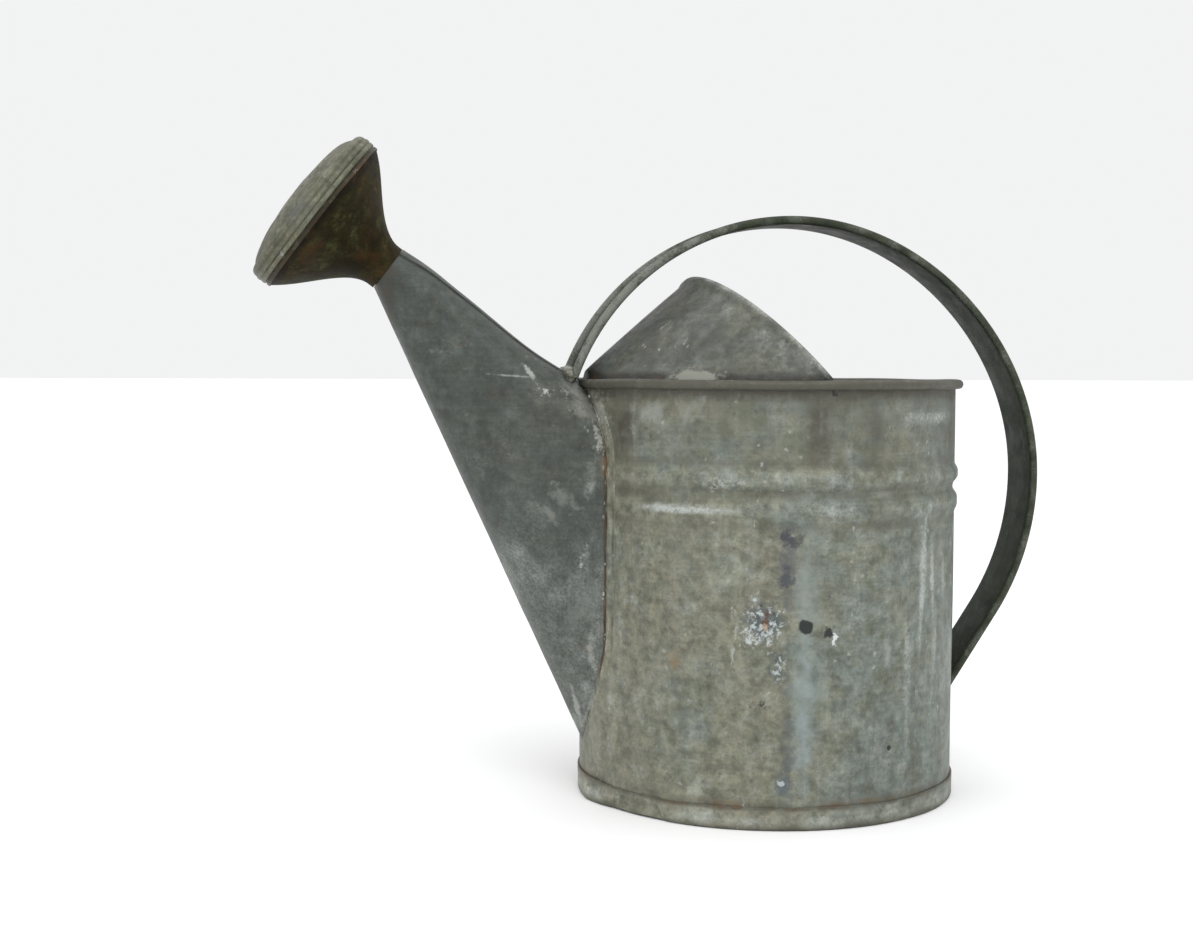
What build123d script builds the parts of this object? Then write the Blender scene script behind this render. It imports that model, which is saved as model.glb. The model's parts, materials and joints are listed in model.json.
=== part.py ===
"""A galvanised watering can: round tank, half hood, tapered spout with a pull-off rose, strap handle.

Millimetres. The origin is the centre of the foot on the floor, +Z is up, the spout points to -X and the
handle's lower end is at +X.
"""

import os
from math import atan2, cos, degrees, radians, sin, sqrt

from build123d import *

os.makedirs("parts", exist_ok=True)

# Tank
body_radius = 113.0
body_height = 249.0
wall_sheet = 1.0
rim_wire_diameter = 2.8
foot_height = 13.0
foot_sheet = 1.2
foot_lip = 5.0
base_height = 10.0
base_sheet = 1.0
upper_bead_drop = 55.0
upper_bead_rise = 1.8
upper_bead_width = 11.0
lower_bead_drop = 71.5
lower_bead_rise = 1.0
lower_bead_width = 10.0
strainer_hole_diameter = 8.0
strainer_pitch = 14.0
strainer_columns = 3

# Spout, measured from the wall and the rim
spout_sheet = 0.9
spout_reach = 115.6
spout_rise = 63.3
spout_root_drop = 4.5
spout_root_bottom = 31.0
spout_root_width = 76.0
spout_tip_diameter = 26.8
spout_top_sag = 2.2
seam_width = 6.0
seam_rise = 0.5
solder_width = 7.0
solder_rise = 1.0

# Nozzle
nozzle_pitch = 38.0
nozzle_diameter = 23.8
nozzle_sheet = 1.0
nozzle_length = 18.0
nozzle_depth = 9.0
nozzle_collar = 3.0

# Rose
rose_diameter = 101.0
rose_depth = 49.4
rose_band_height = 11.0
rose_dome_rise = 9.4
rose_sheet = 0.8
rose_rim_sheet = 1.0
rose_lip = 1.5
rose_ridge_rise = 0.6
rose_ridge_width = 2.6
rose_socket_sheet = 0.9
rose_socket_length = 16.0
rose_neck_length = 4.0
rose_flange = 2.5
rose_hole_diameter = 2.2
rose_hole_pitch = 7.0
rose_hole_margin = 9.0

# Hood
hood_sheet = 1.0
hood_slope = 0.851
hood_step = 7.0
hood_skirt = 6.0
hood_depth = 66.0
hood_mouth_place = 10.0
hood_hem_width = 6.0
hood_hem_rise = 1.2

# Handle, measured from the wall and the rim
handle_width = 37.0
handle_sheet = 0.9
handle_wire_diameter = 2.7
handle_wire_setback = 4.0
handle_rise = 97.2
handle_top_place = 12.5
handle_shoulder = 0.53
handle_front_reach = 10.5
handle_front_rise = 1.5
handle_foot_level = 57.0
handle_tail_angle = 33.0
tongue_width = 26.0
tongue_length = 30.0
rivet_diameter = 4.0
rivet_head_diameter = 9.0
rivet_head_rise = 2.0
rivet_spacing = 13.0
rivet_margin = 1.5
front_solder_radius = 6.5
front_solder_length = 40.0

# Fits: lapped sheets, wires in their rolls, and the rose on its nozzle
lap_gap = 0.05
wire_play = 0.35
pull_gap = 0.3

# Tank values worked out from the sizes
wall_inner = body_radius - wall_sheet
lapped_radius = body_radius + lap_gap
wall_bottom = foot_sheet + lap_gap
rim_roll_radius = rim_wire_diameter / 2 + wire_play + wall_sheet
rim_roll_place = wall_inner + rim_roll_radius
rim_level = body_height - rim_roll_radius
curl_slit = rim_roll_radius - wall_sheet

# Nozzle axis, from the centre of the spout's tip
nozzle_angle = radians(nozzle_pitch)
nozzle_direction = Vector(-cos(nozzle_angle), 0, sin(nozzle_angle))
nozzle_upward = Vector(sin(nozzle_angle), 0, cos(nozzle_angle))
tip_centre = Vector(-body_radius - spout_reach, 0, body_height + spout_rise)
tip_axis = Axis(tip_centre, nozzle_direction)
tip_plane = Plane(origin=tip_centre, x_dir=nozzle_upward, z_dir=nozzle_direction)
# In this plane x is the distance from the nozzle's axis and y the distance along it from the tip.
nozzle_profile = Plane(origin=tip_centre, x_dir=nozzle_upward, z_dir=(0, -1, 0))

# Handle line, through the middle of the rolled edges: a front arc and a rear shoulder that meet level at
# the top, a rear arc below the shoulder, then a straight tail that leaves it at the tail angle for the wall
roll_radius = handle_wire_diameter / 2 + wire_play + handle_sheet
roll_spacing = handle_width - 2 * roll_radius
handle_top = body_height + handle_rise
front_run = body_radius + handle_front_reach + handle_top_place
front_drop = handle_rise - handle_front_rise
front_radius = (front_run**2 + front_drop**2) / (2 * front_drop)
front_centre = (handle_top_place, handle_top - front_radius)
front_angle = degrees(atan2(front_radius - front_drop, -front_run))
tail_turn = radians(handle_tail_angle)
rear_run = body_radius - handle_top_place
rear_drop = handle_top - handle_foot_level
rear_radius = (rear_run * cos(tail_turn) + rear_drop * sin(tail_turn)) / (1 + sin(tail_turn))
rear_centre = (handle_top_place, handle_top - rear_radius)
tail_normal = Vector(cos(tail_turn), -sin(tail_turn))
tail_direction = Vector(-sin(tail_turn), -cos(tail_turn))
tail_start = Vector(*rear_centre) + tail_normal * (rear_radius - roll_radius)
tail_length = (tail_start.X - wall_inner + handle_width / 4) / sin(tail_turn)
tail_end = tail_start + tail_direction * tail_length
tongue_top = handle_foot_level + 2 * roll_radius / sin(tail_turn)
tongue_bottom = tongue_top - tongue_length
rivet_level = tongue_bottom + rivet_margin + (rivet_head_diameter + rivet_spacing) / 2
rivet_plane = Plane(origin=(0, 0, rivet_level), x_dir=(0, 1, 0), z_dir=(1, 0, 0))


def wall_edge(offset, base):
    """One face of the wall with its two ridges, moved outward by an offset, from a base up to the rim."""
    radius = body_radius + offset
    lower = lower_bead_drop, lower_bead_rise, lower_bead_width / 2
    upper = upper_bead_drop, upper_bead_rise, upper_bead_width / 2
    start = (radius, base)
    for drop, rise, half_width in (lower, upper):
        level = body_height - drop
        foot = (radius, level - half_width)
        Line(start, foot)
        start = (radius, level + half_width)
        ThreePointArc(foot, (radius + rise, level), start)
    Line(start, (radius, rim_level))


def tank_envelope(offset):
    """The space inside the tank's outside and below it, grown by an offset, to trim what seats on it."""
    radius = body_radius + offset
    depth = -body_height
    with BuildPart() as envelope:
        with BuildSketch(Plane.XZ):
            with BuildLine():
                wall_edge(offset, depth)
                Polyline((radius, rim_level), (0, rim_level), (0, depth), (radius, depth))
            make_face()
            with Locations((rim_roll_place, rim_level)):
                Circle(rim_roll_radius + offset)
        revolve(axis=Axis.Z)
    return envelope.part


def rim_shoulder(offset):
    """A plain disc round the rim's roll, grown by an offset, that leaves no corner below the roll."""
    with BuildPart() as shoulder:
        with BuildSketch(Plane.XY.offset(rim_level - rim_roll_radius - offset)):
            Circle(rim_roll_place + rim_roll_radius + offset)
        extrude(amount=2 * (rim_roll_radius + offset))
    return shoulder.part


def spout_stations():
    """The spout's top point, bottom point and width inside the wall, part way along and at its tip."""
    tip_radius = spout_tip_diameter / 2
    tip_top = tip_centre + nozzle_upward * tip_radius
    tip_bottom = tip_centre - nozzle_upward * tip_radius
    wall_top = Vector(-body_radius, 0, body_height - spout_root_drop)
    wall_base = Vector(-body_radius, 0, spout_root_bottom)
    # The root lies deeper than the wall's curve at the spout's sides.
    root_depth = body_radius - sqrt(body_radius**2 - (spout_root_width / 2) ** 2) + solder_width
    root_top = wall_top - (tip_top - wall_top) * (root_depth / (wall_top.X - tip_top.X))
    root_base = wall_base - (tip_bottom - wall_base) * (root_depth / (wall_base.X - tip_bottom.X))
    sagged_top = (wall_top + tip_top) / 2 - Vector(0, 0, spout_top_sag)
    middle_base = (wall_base + tip_bottom) / 2
    middle_width = (spout_root_width + spout_tip_diameter) / 2
    return (
        (root_top, root_base, spout_root_width),
        (sagged_top, middle_base, middle_width),
        (tip_top, tip_bottom, spout_tip_diameter),
    )


def section_plane(origin, top, base):
    """A plane across the spout at an origin, with x pointing from the base point to the top point."""
    upward = (top - base).normalized()
    return Plane(origin=origin, x_dir=upward, z_dir=(-upward.Z, 0, upward.X))


def spout_solid(grow):
    """The spout's outside, grown by an offset, from inside the wall to its tip."""
    tip_flat = spout_sheet / 2
    with BuildPart() as tapered:
        for top, base, width in spout_stations():
            with BuildSketch(section_plane((top + base) / 2, top, base)):
                height = max((top - base).length, width + tip_flat)
                SlotOverall(height + 2 * grow, width + 2 * grow)
        loft(ruled=True)
    return tapered.part


def hood_solid(grow):
    """The space under the hood's vault, grown by an offset: arches across the can, from front to mouth."""
    radius = hood_radius + grow
    front = hood_sheet - radius
    length = hood_mouth_place + hood_hem_width - front
    floor = -hood_skirt + min(grow, 0)
    with BuildPart() as vault:
        for station in range(hood_stations):
            place = front + length * (station / (hood_stations - 1)) ** 2
            half_chord = sqrt(radius**2 - place**2)
            crown = hood_step + grow + hood_slope * (place + hood_radius)
            with BuildSketch(Plane(origin=(place, 0, rim_level), x_dir=(0, 1, 0), z_dir=(1, 0, 0))):
                with BuildLine():
                    ThreePointArc((-half_chord, 0), (0, crown), (half_chord, 0))
                    Polyline((-half_chord, 0), (-half_chord, floor), (half_chord, floor), (half_chord, 0))
                make_face()
        loft()
    return vault.part


def handle_line(start_angle):
    """The handle line from a start angle on the front arc to the end of the tail, inside the wall."""
    path_top = handle_top - roll_radius
    path_radius = rear_radius - roll_radius
    path_reach = handle_top_place + path_radius
    CenterArc(front_centre, front_radius - roll_radius, start_angle, 90 - start_angle)
    Bezier(
        (handle_top_place, path_top),
        (handle_top_place + handle_shoulder * path_radius, path_top),
        (path_reach, path_top - (1 - handle_shoulder) * path_radius),
        (path_reach, path_top - path_radius),
    )
    CenterArc(rear_centre, path_radius, 0, -handle_tail_angle)
    Line((tail_start.X, tail_start.Y), (tail_end.X, tail_end.Y))


def handle_wire(side):
    """A stiffening wire in one rolled edge, set back from the strap's front end."""
    setback_angle = degrees(handle_wire_setback / front_radius)
    with BuildPart() as wire:
        with BuildLine(Plane.XZ.offset(-side * roll_spacing / 2)) as wire_path:
            handle_line(front_angle - setback_angle)
        with BuildSketch(Plane(origin=wire_path.line @ 0, x_dir=(0, 1, 0), z_dir=wire_path.line % 0)):
            Circle(handle_wire_diameter / 2)
        sweep()
        add(tank_envelope(lap_gap), mode=Mode.SUBTRACT)
    return wire


# Tank wall: a rolled sheet with two swaged ridges, curled outward over the rim wire, pierced as a
# strainer behind the spout and bored for the handle's rivets
strainer_height = body_height - spout_root_drop - spout_root_bottom - spout_root_width
strainer_level = (body_height - spout_root_drop + spout_root_bottom) / 2
strainer_rows = int(strainer_height / strainer_pitch) + 1
strainer_plane = Plane(origin=(-body_radius, 0, strainer_level), x_dir=(0, 1, 0), z_dir=(-1, 0, 0))
with BuildPart() as tank_wall:
    with BuildSketch(Plane.XZ):
        with BuildLine():
            wall_edge(0, wall_bottom)
            wall_edge(-wall_sheet, wall_bottom)
            Line((wall_inner, wall_bottom), (body_radius, wall_bottom))
            Line((wall_inner, rim_level), (body_radius, rim_level))
        make_face()
    revolve(axis=Axis.Z)
    with BuildSketch(Plane.XZ):
        with Locations((rim_roll_place, rim_level)):
            Circle(rim_roll_radius)
            Circle(rim_roll_radius - wall_sheet, mode=Mode.SUBTRACT)
        with Locations((body_radius, rim_level)):
            Rectangle(curl_slit, 2 * rim_roll_radius, align=(Align.MIN, Align.MAX), mode=Mode.SUBTRACT)
    revolve(axis=Axis.Z)
    with BuildSketch(strainer_plane):
        with GridLocations(strainer_pitch, strainer_pitch, strainer_columns, strainer_rows):
            Circle(strainer_hole_diameter / 2)
    extrude(amount=body_radius / 2, both=True, mode=Mode.SUBTRACT)
    with BuildSketch(rivet_plane):
        with GridLocations(rivet_spacing, rivet_spacing, 1, 2):
            Circle(rivet_diameter / 2 + lap_gap)
    extrude(amount=2 * body_radius, mode=Mode.SUBTRACT)
tank_wall.part.label = "tank_wall"

# Rim wire: the stiffening ring inside the curl
with BuildPart() as rim_wire:
    with BuildSketch(Plane.XZ):
        with Locations((rim_roll_place, rim_level)):
            Circle(rim_wire_diameter / 2)
    revolve(axis=Axis.Z)
rim_wire.part.label = "rim_wire"

# Foot hoop: a band round the bottom, turned in under the wall with a rounded edge
hoop_radius = lapped_radius + foot_sheet
hoop_bend = foot_sheet + lap_gap
hoop_lip = body_radius - foot_lip
with BuildPart() as foot_hoop:
    with BuildSketch(Plane.XZ):
        with BuildLine():
            RadiusArc((hoop_radius, hoop_bend), (hoop_radius - hoop_bend, 0), hoop_bend)
            Polyline(
                (hoop_radius - hoop_bend, 0),
                (hoop_lip, 0),
                (hoop_lip, foot_sheet),
                (lapped_radius, foot_sheet),
                (lapped_radius, foot_height),
                (hoop_radius, foot_height),
                (hoop_radius, hoop_bend),
            )
        make_face()
    revolve(axis=Axis.Z)
foot_hoop.part.label = "foot_hoop"

# Base plate: a pressed bottom whose flange stands inside the wall
base_radius = wall_inner - lap_gap
with BuildPart() as base_plate:
    with BuildSketch(Plane.XY.offset(wall_bottom)):
        Circle(base_radius)
    extrude(amount=base_height - wall_bottom)
    with BuildSketch(Plane.XY.offset(wall_bottom)):
        Circle(base_radius - base_sheet)
    extrude(amount=base_height - wall_bottom - base_sheet, mode=Mode.SUBTRACT)
base_plate.part.label = "base_plate"

# Spout: one tapered sheet with a lapped seam along its top, trimmed to the wall
with BuildPart() as spout:
    add(spout_solid(0))
    for station_top, station_base, _ in spout_stations():
        with BuildSketch(section_plane(station_top, station_top, station_base)):
            Rectangle(2 * seam_rise, seam_width)
    loft(ruled=True)
    add(spout_solid(-spout_sheet), mode=Mode.SUBTRACT)
    add(tank_envelope(lap_gap), mode=Mode.SUBTRACT)
    add(rim_shoulder(lap_gap), mode=Mode.SUBTRACT)
spout.part.label = "spout"

# Solder band: the strip that seals the spout's root to the wall, below the rim
with BuildPart() as spout_solder:
    add(tank_envelope(solder_rise))
    add(spout_solid(solder_width), mode=Mode.INTERSECT)
    add(tank_envelope(lap_gap), mode=Mode.SUBTRACT)
    add(spout_solid(lap_gap), mode=Mode.SUBTRACT)
    add(spout.part, mode=Mode.SUBTRACT)
    split(bisect_by=Plane.XY.offset(rim_level - rim_roll_radius), keep=Keep.BOTTOM)
spout_solder.part.label = "spout_solder"

# Nozzle: the short tube in the spout's tip that carries the rose
nozzle_radius = nozzle_diameter / 2
collar_radius = spout_tip_diameter / 2 - spout_sheet - lap_gap
with BuildPart() as spout_nozzle:
    with BuildSketch(tip_plane.offset(-nozzle_depth)):
        Circle(nozzle_radius)
    extrude(amount=nozzle_depth + nozzle_length)
    with BuildSketch(tip_plane.offset(-nozzle_collar)):
        Circle(collar_radius)
    extrude(amount=nozzle_collar)
    with BuildSketch(tip_plane.offset(-nozzle_depth)):
        Circle(nozzle_radius - nozzle_sheet)
    extrude(amount=nozzle_depth + nozzle_length, mode=Mode.SUBTRACT)
spout_nozzle.part.label = "spout_nozzle"

# Rose socket: the sleeve that slides over the nozzle
socket_bore = nozzle_radius + pull_gap
socket_radius = socket_bore + rose_socket_sheet
with BuildPart() as rose_socket:
    with BuildSketch(tip_plane.offset(pull_gap)):
        Circle(socket_radius)
        Circle(socket_bore, mode=Mode.SUBTRACT)
    extrude(amount=rose_socket_length)
rose_socket.part.label = "rose_socket"

# Rose cone: a trumpet of sheet from the neck to a short straight flange inside the rim
neck_bore = socket_radius + lap_gap
neck_radius = neck_bore + rose_sheet
rim_radius = rose_diameter / 2
rim_bore = rim_radius - rose_rim_sheet
flange_radius = rim_bore - lap_gap
flare_start = pull_gap + rose_neck_length
flare_end = rose_depth - rose_flange
flare_width = flange_radius - neck_radius
flare_length = flare_end - flare_start


def flare(inset):
    """The trumpet's curve from the neck to the flange, moved inward by an inset."""
    Bezier(
        (neck_radius - inset, flare_start),
        (neck_radius + 0.04 * flare_width - inset, flare_start + 0.34 * flare_length),
        (neck_radius + 0.62 * flare_width - 0.7 * inset, flare_start + 0.60 * flare_length + 0.7 * inset),
        (flange_radius - inset, flare_end + inset / 2),
    )


with BuildPart() as rose_cone:
    with BuildSketch(nozzle_profile):
        with BuildLine():
            flare(0)
            flare(rose_sheet)
            Polyline(
                (neck_radius, flare_start),
                (neck_radius, pull_gap),
                (neck_bore, pull_gap),
                (neck_bore, flare_start),
            )
            Polyline(
                (flange_radius, flare_end),
                (flange_radius, rose_depth),
                (flange_radius - rose_sheet, rose_depth),
                (flange_radius - rose_sheet, flare_end + rose_sheet / 2),
            )
        make_face()
    revolve(axis=tip_axis)
rose_cone.part.label = "rose_cone"

# Rose rim: the band with two stepped ridges that grips the cone's flange and the face's edge
rim_top = rose_depth + rose_band_height
lip_radius = rim_bore - rose_lip
with BuildPart() as rose_rim:
    with BuildSketch(nozzle_profile):
        with BuildLine():
            Polyline(
                (rim_bore, flare_end),
                (rim_radius, flare_end),
                (rim_radius, rim_top),
                (lip_radius, rim_top),
                (lip_radius, rim_top - rose_rim_sheet),
                (rim_bore, rim_top - rose_rim_sheet),
                close=True,
            )
        make_face()
        with Locations((rim_radius, rose_depth), (rim_radius, rose_depth + 2 * rose_ridge_width)):
            Rectangle(rose_ridge_rise, rose_ridge_width, align=(Align.MIN, Align.MIN))
    revolve(axis=tip_axis)
rose_rim.part.label = "rose_rim"

# Rose face: a domed sheet pierced with rings of holes, held under the rim's lip
face_level = rim_top - rose_rim_sheet - lap_gap
dome_edge = lip_radius - rose_sheet
ring_count = int((dome_edge - rose_hole_margin) / rose_hole_pitch)


def dome(inset):
    """The face's curve from its edge up to its crown, moved inward by an inset."""
    edge = dome_edge - inset
    level = face_level - inset
    crown = level + rose_dome_rise
    Bezier((edge, level), (0.88 * edge, level + 0.75 * rose_dome_rise), (edge / 2, crown), (0, crown))


with BuildPart() as rose_face:
    with BuildSketch(nozzle_profile):
        with BuildLine():
            dome(0)
            dome(rose_sheet)
            Polyline(
                (dome_edge, face_level),
                (flange_radius, face_level),
                (flange_radius, face_level - rose_sheet),
                (dome_edge - rose_sheet, face_level - rose_sheet),
            )
            Line((0, face_level + rose_dome_rise), (0, face_level + rose_dome_rise - rose_sheet))
        make_face()
    revolve(axis=tip_axis)
    with BuildSketch(tip_plane.offset(rose_depth)):
        Circle(rose_hole_diameter / 2)
        for ring in range(1, ring_count + 1):
            with PolarLocations(ring * rose_hole_pitch, 6 * ring):
                Circle(rose_hole_diameter / 2)
    extrude(amount=rose_band_height + rose_dome_rise, mode=Mode.SUBTRACT)
rose_face.part.label = "rose_face"

# Hood: a half vault from the front of the rim to an inclined free edge with a folded hem
hood_radius = wall_inner - lap_gap
hood_stations = 6
apex_place = hood_depth - hood_radius
apex_rise = hood_step + hood_slope * hood_depth
mouth_plane = Plane(
    origin=(hood_mouth_place, 0, rim_level),
    x_dir=(0, 1, 0),
    z_dir=Vector(-apex_rise, 0, apex_place - hood_mouth_place).normalized(),
)
with BuildPart() as hood:
    add(hood_solid(hood_hem_rise))
    split(bisect_by=mouth_plane.offset(hood_hem_width), keep=Keep.BOTTOM)
    add(hood_solid(0))
    split(bisect_by=mouth_plane, keep=Keep.TOP)
    add(hood_solid(-hood_sheet), mode=Mode.SUBTRACT)
    with BuildSketch():
        Circle(2 * body_radius)
        Circle(hood_radius, mode=Mode.SUBTRACT)
    extrude(amount=body_height + lap_gap, mode=Mode.SUBTRACT)
hood.part.label = "hood"

# Handle strap: a sheet with both edges rolled over wires, and a tongue riveted to the wall
with BuildPart() as handle_strap:
    with BuildLine(Plane.XZ) as handle_path:
        handle_line(front_angle)
    with BuildSketch(Plane(origin=handle_path.line @ 0, x_dir=(0, 1, 0), z_dir=handle_path.line % 0)):
        with Locations((0, -roll_radius)):
            Rectangle(roll_spacing, handle_sheet, align=(Align.CENTER, Align.MIN))
        with GridLocations(roll_spacing, roll_spacing, 2, 1):
            Circle(roll_radius)
            Circle(roll_radius - handle_sheet, mode=Mode.SUBTRACT)
    sweep()
    with BuildSketch(Plane.XY.offset(tongue_bottom)):
        Circle(lapped_radius + handle_sheet)
        Circle(lapped_radius, mode=Mode.SUBTRACT)
        Rectangle(2 * body_radius, tongue_width, align=(Align.MIN, Align.CENTER), mode=Mode.INTERSECT)
    extrude(amount=tongue_length)
    with BuildSketch(rivet_plane):
        with GridLocations(rivet_spacing, rivet_spacing, 1, 2):
            Circle(rivet_diameter / 2 + lap_gap)
    extrude(amount=body_radius + rivet_head_diameter, mode=Mode.SUBTRACT)
    add(tank_envelope(lap_gap), mode=Mode.SUBTRACT)
    add(spout_solid(lap_gap), mode=Mode.SUBTRACT)
    add(spout.part, mode=Mode.SUBTRACT)
handle_strap.part.label = "handle_strap"

# Handle wires, one in each rolled edge
handle_wire_near = handle_wire(-1)
handle_wire_near.part.label = "handle_wire_near"
handle_wire_far = handle_wire(1)
handle_wire_far.part.label = "handle_wire_far"

# Rear rivets: two, one above the other, through the tongue and the wall
outer_seat = lapped_radius + handle_sheet + lap_gap
inner_seat = sqrt(wall_inner**2 - (rivet_head_diameter / 2) ** 2) - lap_gap
with BuildPart() as rear_rivets:
    with BuildSketch(rivet_plane.offset(inner_seat)):
        with GridLocations(rivet_spacing, rivet_spacing, 1, 2):
            Circle(rivet_diameter / 2)
    extrude(amount=outer_seat - inner_seat)
    for seat, rise in ((outer_seat, rivet_head_rise), (inner_seat, -rivet_head_rise)):
        with BuildSketch(rivet_plane.offset(seat)):
            with GridLocations(rivet_spacing, rivet_spacing, 1, 2):
                Circle(rivet_head_diameter / 2)
        extrude(amount=rise)
    rivet_rims = rear_rivets.edges().filter_by(GeomType.CIRCLE).group_by(Axis.X)
    fillet(rivet_rims[0] + rivet_rims[-1], radius=0.9 * rivet_head_rise)
rear_rivets.part.label = "rear_rivets"

# Front solder: the bead in front of the strap's end, on the spout's top
front_turn = radians(front_angle)
strap_outward = Vector(cos(front_turn), 0, sin(front_turn))
strap_end = Vector(-body_radius - handle_front_reach, 0, body_height + handle_front_rise)
lump_plane = Plane(origin=strap_end, x_dir=(0, 1, 0), z_dir=(0, 0, 1))
with BuildPart() as front_solder:
    with BuildSketch(lump_plane):
        Ellipse(front_solder_length / 2, front_solder_radius)
        Rectangle(
            front_solder_length, front_solder_radius, align=(Align.CENTER, Align.MIN), mode=Mode.INTERSECT
        )
    revolve(axis=Axis(strap_end, (0, 1, 0)))
    split(bisect_by=Plane(origin=strap_end, z_dir=strap_outward).offset(lap_gap), keep=Keep.TOP)
    add(spout_solid(lap_gap), mode=Mode.SUBTRACT)
    add(spout.part, mode=Mode.SUBTRACT)
front_solder.part.label = "front_solder"

pieces = (
    tank_wall,
    rim_wire,
    foot_hoop,
    base_plate,
    spout,
    spout_solder,
    spout_nozzle,
    rose_socket,
    rose_cone,
    rose_rim,
    rose_face,
    hood,
    handle_strap,
    handle_wire_near,
    handle_wire_far,
    rear_rivets,
    front_solder,
)
for piece in pieces:
    export_step(piece.part, f"parts/{piece.part.label}.step")
    print(piece.part.label, len(piece.part.solids()), round(piece.part.volume))
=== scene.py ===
import json
from functools import partial
from math import asin, atan2, cos, degrees, hypot, pi, radians, sin, sqrt

import bmesh
import bpy
import numpy as np
from mathutils import Matrix, Vector, noise


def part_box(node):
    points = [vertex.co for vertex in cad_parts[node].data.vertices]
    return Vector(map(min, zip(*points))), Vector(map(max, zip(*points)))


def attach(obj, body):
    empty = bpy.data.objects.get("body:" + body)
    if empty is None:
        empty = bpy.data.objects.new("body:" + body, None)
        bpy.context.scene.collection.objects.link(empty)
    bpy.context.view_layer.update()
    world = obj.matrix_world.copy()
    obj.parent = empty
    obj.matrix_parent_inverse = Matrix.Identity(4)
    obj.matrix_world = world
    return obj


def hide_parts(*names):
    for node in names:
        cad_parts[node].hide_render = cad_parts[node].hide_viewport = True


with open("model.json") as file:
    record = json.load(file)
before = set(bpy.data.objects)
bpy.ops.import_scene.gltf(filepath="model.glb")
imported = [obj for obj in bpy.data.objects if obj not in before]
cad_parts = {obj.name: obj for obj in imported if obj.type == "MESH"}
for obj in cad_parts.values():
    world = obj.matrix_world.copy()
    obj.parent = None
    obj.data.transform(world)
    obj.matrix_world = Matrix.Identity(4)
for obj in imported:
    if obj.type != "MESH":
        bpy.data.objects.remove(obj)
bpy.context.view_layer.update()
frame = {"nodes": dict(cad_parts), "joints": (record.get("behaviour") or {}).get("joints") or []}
mm = 0.001  # sizes below are in millimetres, meshes and nodes in metres
print("frame loaded:", len(frame["nodes"]), "nodes")


# small maths
def clamp(values):
    return np.clip(values, 0, 1)


def ramp(low, high, value):  # smooth 0 to 1 between two values
    t = clamp((np.asarray(value, float) - low) / (high - low))
    return t * t * (3 - 2 * t)


def bump(value, centre, halfWidth):  # 1 at the centre, 0 outside
    t = clamp(np.abs((np.asarray(value, float) - centre) / halfWidth))
    return 0.5 + 0.5 * np.cos(pi * t)


def ridge(value, centre, halfWidth):  # a flat top with steep flanks
    off = np.abs((np.asarray(value, float) - centre) / halfWidth)
    return 1 - ramp(0.3, 1.0, off)


def ripple(points, size, seed):  # smooth random values, about -1 to 1
    seedStep = 7.31
    flat = np.asarray(points, float).reshape(-1, 3) / size + seed * seedStep
    values = [noise.noise(Vector(p)) for p in flat]
    return np.array(values).reshape(np.shape(points)[:-1])


def bezier(a, b, c, d, count):
    t = np.linspace(0, 1, count)[:, None]
    a, b, c, d = (np.array(p, float) for p in (a, b, c, d))
    return (1 - t) ** 3 * a + 3 * t * (1 - t) ** 2 * b + 3 * t * t * (1 - t) * c + t**3 * d


def arc(x, z, radius, first, last, count):  # points of a circle between two angles in degrees
    turns = np.radians(np.linspace(first, last, count))
    return [(x + radius * cos(a), z + radius * sin(a)) for a in turns]


def unit(rows):
    return rows / np.linalg.norm(rows, axis=-1, keepdims=True)


def roundPoints(angle, radius, height):
    return np.stack([radius * np.cos(angle), radius * np.sin(angle), height], -1)


def ringWave(angle, size, seed):  # a ripple that closes round the axis
    return ripple(roundPoints(angle, 1, 0 * angle), size, seed)


def crossing(low, high, before):  # where before(x) turns false, found by halving
    for _ in range(36):
        middle = (low + high) / 2
        low, high = (middle, high) if before(middle) else (low, middle)
    return high


# meshes and pieces
def linked(name, data):
    thing = bpy.data.objects.new(name, data)
    bpy.context.scene.collection.objects.link(thing)
    return thing


def gridMesh(name, points, closeRows=False, closeColumns=False):
    points = np.asarray(points, float)
    index = np.arange(points[..., 0].size).reshape(points.shape[:2])
    index = np.pad(index, ((0, int(closeRows)), (0, int(closeColumns))), "wrap")
    faces = np.stack([index[:-1, :-1], index[:-1, 1:], index[1:, 1:], index[1:, :-1]], -1)
    mesh = bpy.data.meshes.new(name)
    mesh.from_pydata((points.reshape(-1, 3) * mm).tolist(), [], faces.reshape(-1, 4).tolist())
    return mesh


def closeShell(mesh, outward=None):  # merge doubles and turn the faces outwards, or towards outward(place)
    work = bmesh.new()
    work.from_mesh(mesh)
    bmesh.ops.remove_doubles(work, verts=work.verts, dist=0.01 * mm)
    bmesh.ops.recalc_face_normals(work, faces=work.faces)
    if outward:
        lean = sum(f.normal.dot(outward(f.calc_center_median() / mm)) * f.calc_area() for f in work.faces)
        if lean < 0:
            bmesh.ops.reverse_faces(work, faces=work.faces)
    work.to_mesh(mesh)
    work.free()
    return mesh


def bakedMesh(helper):  # the evaluated mesh of a helper object, which is then removed
    bpy.context.view_layer.update()
    seen = helper.evaluated_get(bpy.context.evaluated_depsgraph_get())
    mesh = bpy.data.meshes.new_from_object(seen)
    bpy.data.objects.remove(helper)
    return mesh


def thicken(mesh, outward, depth, even=True):  # an open sheet gets a wall on the side away from outward
    helper = linked("helper", closeShell(mesh, outward))
    wall = helper.modifiers.new("wall", "SOLIDIFY")
    wall.thickness = depth * mm
    wall.offset = -1
    wall.use_even_offset = even
    wall.use_quality_normals = True
    return bakedMesh(helper)


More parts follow.
